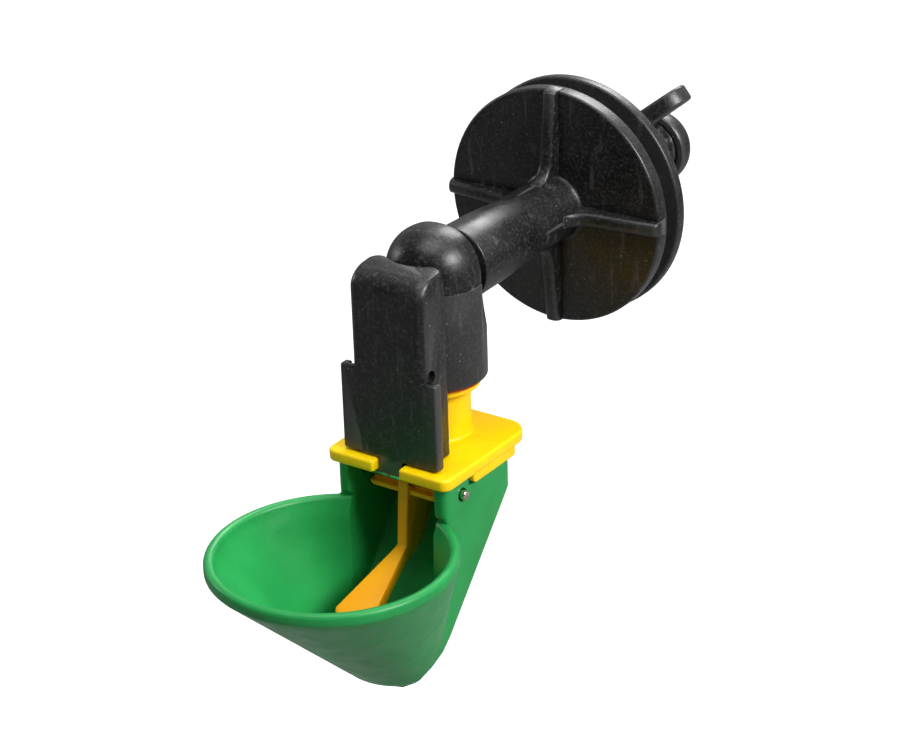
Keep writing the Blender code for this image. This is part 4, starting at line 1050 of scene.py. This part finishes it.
def lever_blade(lean, under):
    """The lever seen from the side: upright front, toe in the paddle, curved web and tail arm."""
    top = PIN_Z + TAIL_ARM_RISE
    foot = top - TAIL_ARM_THICK
    end = TUBE_Y + TAIL_ARM_PAST
    toe, toe_top = LEVER_KINK_Y - LEVER_TOE, LEVER_KINK_Z - LEVER_TOE * tan(lean)
    return [
        (LEVER_FRONT, PIN_Z),
        (LEVER_KINK_Y, LEVER_KINK_Z),
        (toe, toe_top),
        (toe, toe_top - under),
        *[(LEVER_KINK_Y + back, WEB_FOOT_Z + up) for back, up in WEB_TOE],
        *[(WEB_BACK + back, WEB_FOOT_Z + up) for back, up in WEB_SWEEP],
        *[(WEB_BACK + back, foot + up) for back, up in WEB_HEAD],
        (end, foot + TAIL_ARM_TAPER),
        (end, top),
    ]


def lever_barrel():
    """The cross bar on the pin, with its front cut flat and its upper part set back."""
    profile = low_corner(BARREL_RADIUS, -BARREL_HALF, BARREL_END, EDGE_STEPS)
    profile += high_corner(BARREL_RADIUS, BARREL_HALF, BARREL_END, EDGE_STEPS)
    barrel = turned("barrel", profile, *ON_PIN, SMALL)
    far = 2 * BARREL_RADIUS
    front, low, high = PIN_Y - far, PIN_Z - far, PIN_Z + far
    lip = PIN_Z - BARREL_LIP
    face = [(front, low), (BARREL_FACE, low), (BARREL_FACE, lip), (BARREL_RECESS, lip)]
    face += [(BARREL_RECESS, high), (front, high)]
    cut(barrel, prism("barrel face", face, (-BARREL_HALF - PAST, BARREL_HALF + PAST), side))
    return finished(barrel, BARREL_EDGE, 2, 50)


def lever_piece():
    """The lever: barrel on the pin, upright blade, tail arm under the stem and flared paddle."""
    lean = atan2(LEVER_KINK_Z - PADDLE_TIP_Z, LEVER_KINK_Y - PADDLE_TIP_Y)
    under = PADDLE_THICK / cos(lean)
    body = prism("orange_lever", lever_blade(lean, under), (-LEVER_HALF, LEVER_HALF), side)
    finished(body, LEVER_EDGE, 3, 30)
    join(body, lever_barrel())
    join(body, paddle("paddle", lean, under))
    cut(body, pin_bore())
    return finished(body)


def paddle(name, lean, under):
    """The blade's foot, which flares into the paddle that the birds push."""
    start_y = LEVER_KINK_Y - PADDLE_OVERLAP
    edge, flare_end = PADDLE_EDGE, PADDLE_FLARE_END
    rings = []
    for share in (0.0, 0.3, 0.6, flare_end, 0.97, 0.99, 1.0):
        y = start_y + (PADDLE_TIP_Y - start_y) * share
        z = LEVER_KINK_Z + (y - LEVER_KINK_Y) * tan(lean)
        half = LEVER_HALF - PADDLE_INSET + (PADDLE_HALF - LEVER_HALF) * min(share / flare_end, 1.0)
        past = clamped((share - flare_end) / (1 - flare_end))
        half -= PADDLE_TIP_NARROW * past**2
        top = -PADDLE_TIP_SINK * past**3
        low = -top - under
        outline = []
        for x, h, start in ((half, top, 0), (-half, top, 90), (-half, low, 180), (half, low, 270)):
            inset_x = x - edge if x > 0 else x + edge
            inset_h = h - edge if start < 180 else h + edge
            outline += [(a, z + b) for a, b in arc(inset_x, inset_h, edge, start, start + 90, 4)]
        rings.append([Vector((x, y, height)) for x, height in outline])
    return new_object(name, loft(rings))


def collar_seal_piece():
    """The thin red seal between the collar and the drop tube."""
    low = collar_top() + SEAL_GAP
    high = low + COLLAR_SEAL_THICK
    rim, swell = TUBE_RADIUS - COLLAR_SEAL_INSET, COLLAR_SEAL_EDGE
    profile = [
        (BODY_SPIGOT_RADIUS + SEAL_GAP, low),
        (rim - swell, low),
        (rim, low + swell),
        (rim, high - swell),
        (rim - swell, high),
        (BODY_SPIGOT_RADIUS + SEAL_GAP, high),
    ]
    return finished(turned("collar_ring", profile, *ON_TUBE, ROUND, looped=True))


class Nodes:
    """A node tree under construction."""

    def __init__(self, tree):
        self.tree = tree

    def feed(self, node, inputs):
        """Sets a node's inputs, by name or number, or links them where an output is given."""
        for key, value in inputs.items():
            socket = node.inputs[key]
            if isinstance(value, bpy.types.NodeSocket):
                self.tree.links.new(value, socket)
            else:
                socket.default_value = (*value, 1.0) if socket.type == "RGBA" else value
        return node

    def node(self, kind, inputs=None):
        return self.feed(self.tree.nodes.new("ShaderNode" + kind), inputs or {})

    def span(self, value, low, high, start=0.0, end=1.0):
        """Maps low..high to start..end, and holds the ends."""
        limits = {"Value": value, "From Min": low, "From Max": high, "To Min": start, "To Max": end}
        return self.node("MapRange", limits).outputs["Result"]

    def times(self, one, other):
        product = self.node("Math", {0: one, 1: other})
        product.operation = "MULTIPLY"
        return product.outputs["Value"]


class Surface(Nodes):
    """A material under construction: a Principled shader and the textures that feed it."""

    def __init__(self, name, roughness, metallic=0.0, specular=0.5):
        self.material = bpy.data.materials.new(name)
        self.material.use_nodes = True
        super().__init__(self.material.node_tree)
        self.set({"Roughness": roughness, "Metallic": metallic, "Specular IOR Level": specular})
        self.place = self.node("TexCoord").outputs["Object"]

    def set(self, inputs):
        self.feed(self.tree.nodes["Principled BSDF"], inputs)

    def stretched(self, scale):
        """The piece's own coordinates, stretched by a factor along each axis."""
        return self.node("Mapping", {"Vector": self.place, "Scale": scale}).outputs["Vector"]

    def noise(self, size, detail=3.0, place=None):
        """Cloudy noise, from 0 to 1, with features about size metres wide."""
        inputs = {"Vector": place or self.place, "Scale": 1 / size, "Detail": detail}
        return self.node("TexNoise", inputs).outputs["Fac"]

    def mixed(self, share, first, second):
        """A colour between first and second, each a colour or an output."""
        mix = self.tree.nodes.new("ShaderNodeMix")
        mix.data_type = "RGBA"
        return self.feed(mix, {"Factor": share, 6: first, 7: second}).outputs[2]

    def edges(self, low, high, most):
        """0 on flat faces, most on convex edges."""
        return self.span(self.node("NewGeometry").outputs["Pointiness"], low, high, end=most)

    def specks(self, size, radius, share):
        """1 inside sparse round specks: one cell in 1 / share holds one."""
        cells = self.node("TexVoronoi", {"Vector": self.place, "Scale": 1 / size}).outputs
        spot = self.span(cells["Distance"], radius * 0.6, radius, 1.0, 0.0)
        chance = self.node("SeparateColor", {"Color": cells["Color"]}).outputs["Red"]
        return self.times(spot, self.span(chance, 1 - share, 1 - share + 0.01))

    def bump(self, *heights):
        """Raises the surface by each (height in metres, texture) pair."""
        inputs = {}
        for height, texture in heights:
            inputs |= {"Distance": height, "Height": texture}
            inputs["Normal"] = self.node("Bump", inputs).outputs["Normal"]
        self.set({"Normal": inputs["Normal"]})


def black_plastic():
    """Satin black moulding: grain, faint cloudy patches, paler convex edges (partly wear, partly painted
    highlight), scuffs and dust.
    """
    made = Surface("black_plastic_finish", 0.4, specular=0.5)
    grain = made.noise(0.45 * MM, 4.0)
    patches = made.noise(5 * MM)
    scuffs = made.noise(1.2 * MM, 6.0, made.stretched((1.0, 1.0, 0.18)))
    tone = made.mixed(made.span(patches, 0.35, 0.7), BLACK_DARK, BLACK_LIGHT)
    tone = made.mixed(made.span(grain, 0.5, 0.7, end=0.6), tone, BLACK_GRAIN)
    tone = made.mixed(made.span(scuffs, 0.6, 0.76, end=0.6), tone, BLACK_WEAR_AND_EDGE_SHEEN)
    # Convex edges paled: partly wear, partly a painted highlight along the edges.
    tone = made.mixed(made.edges(0.51, 0.58, 0.8), tone, BLACK_WEAR_AND_EDGE_SHEEN)
    tone = made.mixed(made.specks(1.2 * MM, 0.09, 0.35), tone, DUST)
    made.set({"Base Color": tone, "Roughness": made.span(patches, 0.3, 0.75, 0.30, 0.46)})
    made.bump((0.02 * MM, grain), (0.04 * MM, made.noise(2.5 * MM, 2.0)))
    return made.material


def coloured_plastic(name, full, pale, deep, roughness, depth, spread):
    """Glossy coloured moulding: slow swirls, fine grain, and paler edges that are a painted highlight."""
    made = Surface(name, roughness, specular=0.35)
    grain = made.noise(0.5 * MM)
    tone = made.mixed(made.span(made.noise(9 * MM), 0.38, 0.66), deep, full)
    tone = made.mixed(made.span(grain, 0.5, 0.8, end=0.25), tone, pale)
    # Convex edges paled towards the pale shade: a painted highlight along the edges.
    tone = made.mixed(made.edges(0.53, 0.66, 0.35), tone, pale)
    gloss = made.span(made.noise(3 * MM, 4.0), 0.3, 0.75, roughness - 0.05, roughness + 0.09)
    made.set({"Base Color": tone, "Roughness": gloss})
    made.set({"Subsurface Weight": 0.15, "Subsurface Scale": depth, "Subsurface Radius": spread})
    made.bump((0.006 * MM, grain), (0.03 * MM, made.noise(4 * MM, 2.0)))
    return made.material


def white_plastic():
    """The milky plastic of the small valve parts."""
    made = Surface("white_plastic_finish", 0.42)
    made.set({"Base Color": made.mixed(made.span(made.noise(2 * MM), 0.35, 0.7), WHITE, WHITE_SHADE)})
    made.bump((0.008 * MM, made.noise(0.4 * MM)))
    return made.material


def rubber(name, full, worn):
    """Matt rubber with a dusty bloom."""
    made = Surface(name, 0.65, specular=0.3)
    tone = made.mixed(made.span(made.noise(1.5 * MM, 4.0), 0.4, 0.75), full, worn)
    made.set({"Base Color": tone, "Roughness": made.span(made.noise(0.8 * MM), 0.3, 0.7, 0.55, 0.75)})
    made.bump((0.02 * MM, made.noise(0.3 * MM)))
    return made.material


def bright_steel():
    """Drawn wire, cut and peened at its ends, with brownish stains and fine lines along it."""
    made = Surface("bright_steel_finish", 0.3, metallic=1.0)
    lines = made.noise(0.12 * MM, 2.0, made.stretched((0.08, 1.0, 1.0)))
    stains = made.noise(0.7 * MM)
    tone = made.mixed(made.span(lines, 0.3, 0.7), STEEL_DARK, STEEL)
    tone = made.mixed(made.span(stains, 0.42, 0.56, end=0.8), tone, STEEL_STAIN)
    made.set({"Base Color": tone, "Roughness": made.span(stains, 0.4, 0.7, 0.18, 0.45)})
    made.bump((0.02 * MM, lines), (0.05 * MM, made.noise(0.35 * MM, 2.0)))
    return made.material


def materials():
    """Each of the record's material slots, finished."""
    made = {
        "black_plastic": black_plastic(),
        "white_plastic": white_plastic(),
        "bright_steel": bright_steel(),
    }
    for name, look in COLOURED.items():
        made[f"{name}_plastic"] = coloured_plastic(f"{name}_plastic_finish", *look)
    for name, look in RUBBERS.items():
        made[f"{name}_rubber"] = rubber(f"{name}_rubber_finish", *look)
    return made


def world():
    """White round about, darker in front as gloss sees it."""
    made = bpy.data.worlds.new("Studio")
    bpy.context.scene.world = made
    made.use_nodes = True
    nodes = Nodes(made.node_tree)
    nodes.tree.nodes.clear()
    rays = nodes.node("LightPath").outputs
    direction = nodes.node("TexCoord").outputs["Generated"]
    ahead = nodes.node("SeparateXYZ", {"Vector": direction}).outputs["Y"]
    gloss = nodes.span(ahead, GLOSS_FRONT_Y, GLOSS_BACK_Y, GLOSS_FRONT, GLOSS_BACK)
    light, shine, plain = (
        nodes.node("Background", {"Strength": strength}).outputs["Background"]
        for strength in (WORLD_LIGHT, gloss, 1.0)
    )
    seen = light
    for ray, shade in (("Is Glossy Ray", shine), ("Is Transmission Ray", plain), ("Is Camera Ray", plain)):
        seen = nodes.node("MixShader", {"Fac": rays[ray], 1: seen, 2: shade}).outputs["Shader"]
    nodes.node("OutputWorld", {"Surface": seen})


def floor(lowest):
    """A pale floor well below the object, with a soft shadow."""
    bm = bmesh.new()
    bmesh.ops.create_grid(bm, x_segments=1, y_segments=1, size=FLOOR_HALF)
    obj = new_object("floor", bm)
    obj.location.z = lowest - FLOOR_DROP
    paint = Surface("floor_paint", FLOOR_ROUGHNESS, specular=0.0)
    lift = paint.times(paint.node("LightPath").outputs["Is Camera Ray"], FLOOR_LIFT)
    paint.set({"Base Color": FLOOR_PAINT, "Emission Color": (1, 1, 1), "Emission Strength": lift})
    obj.data.materials.append(paint.material)


def lamp(name, towards, distance, size, power):
    """A square soft light that shines on the object from a direction."""
    data = bpy.data.lights.new(name, "AREA")
    data.shape = "SQUARE"
    data.size = size
    data.energy = power
    obj = bpy.data.objects.new(name, data)
    direction = Vector(towards).normalized()
    obj.location = Vector(LIT_POINT) + direction * distance
    obj.rotation_euler = direction.to_track_quat("Z", "Y").to_euler()
    bpy.context.scene.collection.objects.link(obj)


def camera():
    data = bpy.data.cameras.new("Camera")
    data.sensor_width = SENSOR_WIDTH
    data.lens = CAMERA_LENS
    turn, tilt, roll = CAMERA_AZIMUTH, CAMERA_ELEVATION, CAMERA_ROLL
    forward = Vector((-sin(turn) * cos(tilt), cos(turn) * cos(tilt), -sin(tilt)))
    level = Vector((cos(turn), sin(turn), 0))
    right = level * cos(roll) + level.cross(forward) * sin(roll)
    axes = Matrix((right, right.cross(forward), -forward)).transposed().to_4x4()
    obj = bpy.data.objects.new("Camera", data)
    obj.matrix_world = Matrix.Translation(CAMERA_PLACE) @ axes
    bpy.context.scene.collection.objects.link(obj)
    bpy.context.scene.camera = obj


def main():
    for obj in list(bpy.data.objects):
        bpy.data.objects.remove(obj)
    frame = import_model()
    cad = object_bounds()
    finishes = materials()
    slots = {row["node"]: row["material_slot"] for row in frame["record"]["subparts"]}
    homes = {node: body for body, nodes in frame["record"]["behaviour"]["bodies"].items() for node in nodes}
    makers = {
        "bracket_body": bracket_piece,
        "clamp_disc": clamp_disc_piece,
        "wing_nut": wing_nut_piece,
        "hose_nut": hose_nut_piece,
        "elbow": elbow_piece,
        "collar_seal": collar_seal_piece,
        "valve_body": valve_body_piece,
        "lock_block": lock_block_piece,
        "cup": cup_piece,
        "lever": lever_piece,
        "lever_pin": pin_piece,
    }
    for node, maker in makers.items():
        piece = maker()
        piece.data.materials.clear()
        piece.data.materials.append(finishes[slots[node]])
        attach(piece, homes[node])
        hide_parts(node)
    for node, obj in frame["nodes"].items():
        if node not in makers:
            for place in obj.material_slots:
                place.material = finishes[slots[node]]
    world()
    floor(cad[0][2])
    for name, facts in LAMPS.items():
        lamp(name, *facts)
    camera()
    bpy.context.scene.view_settings.view_transform = "Standard"


main()
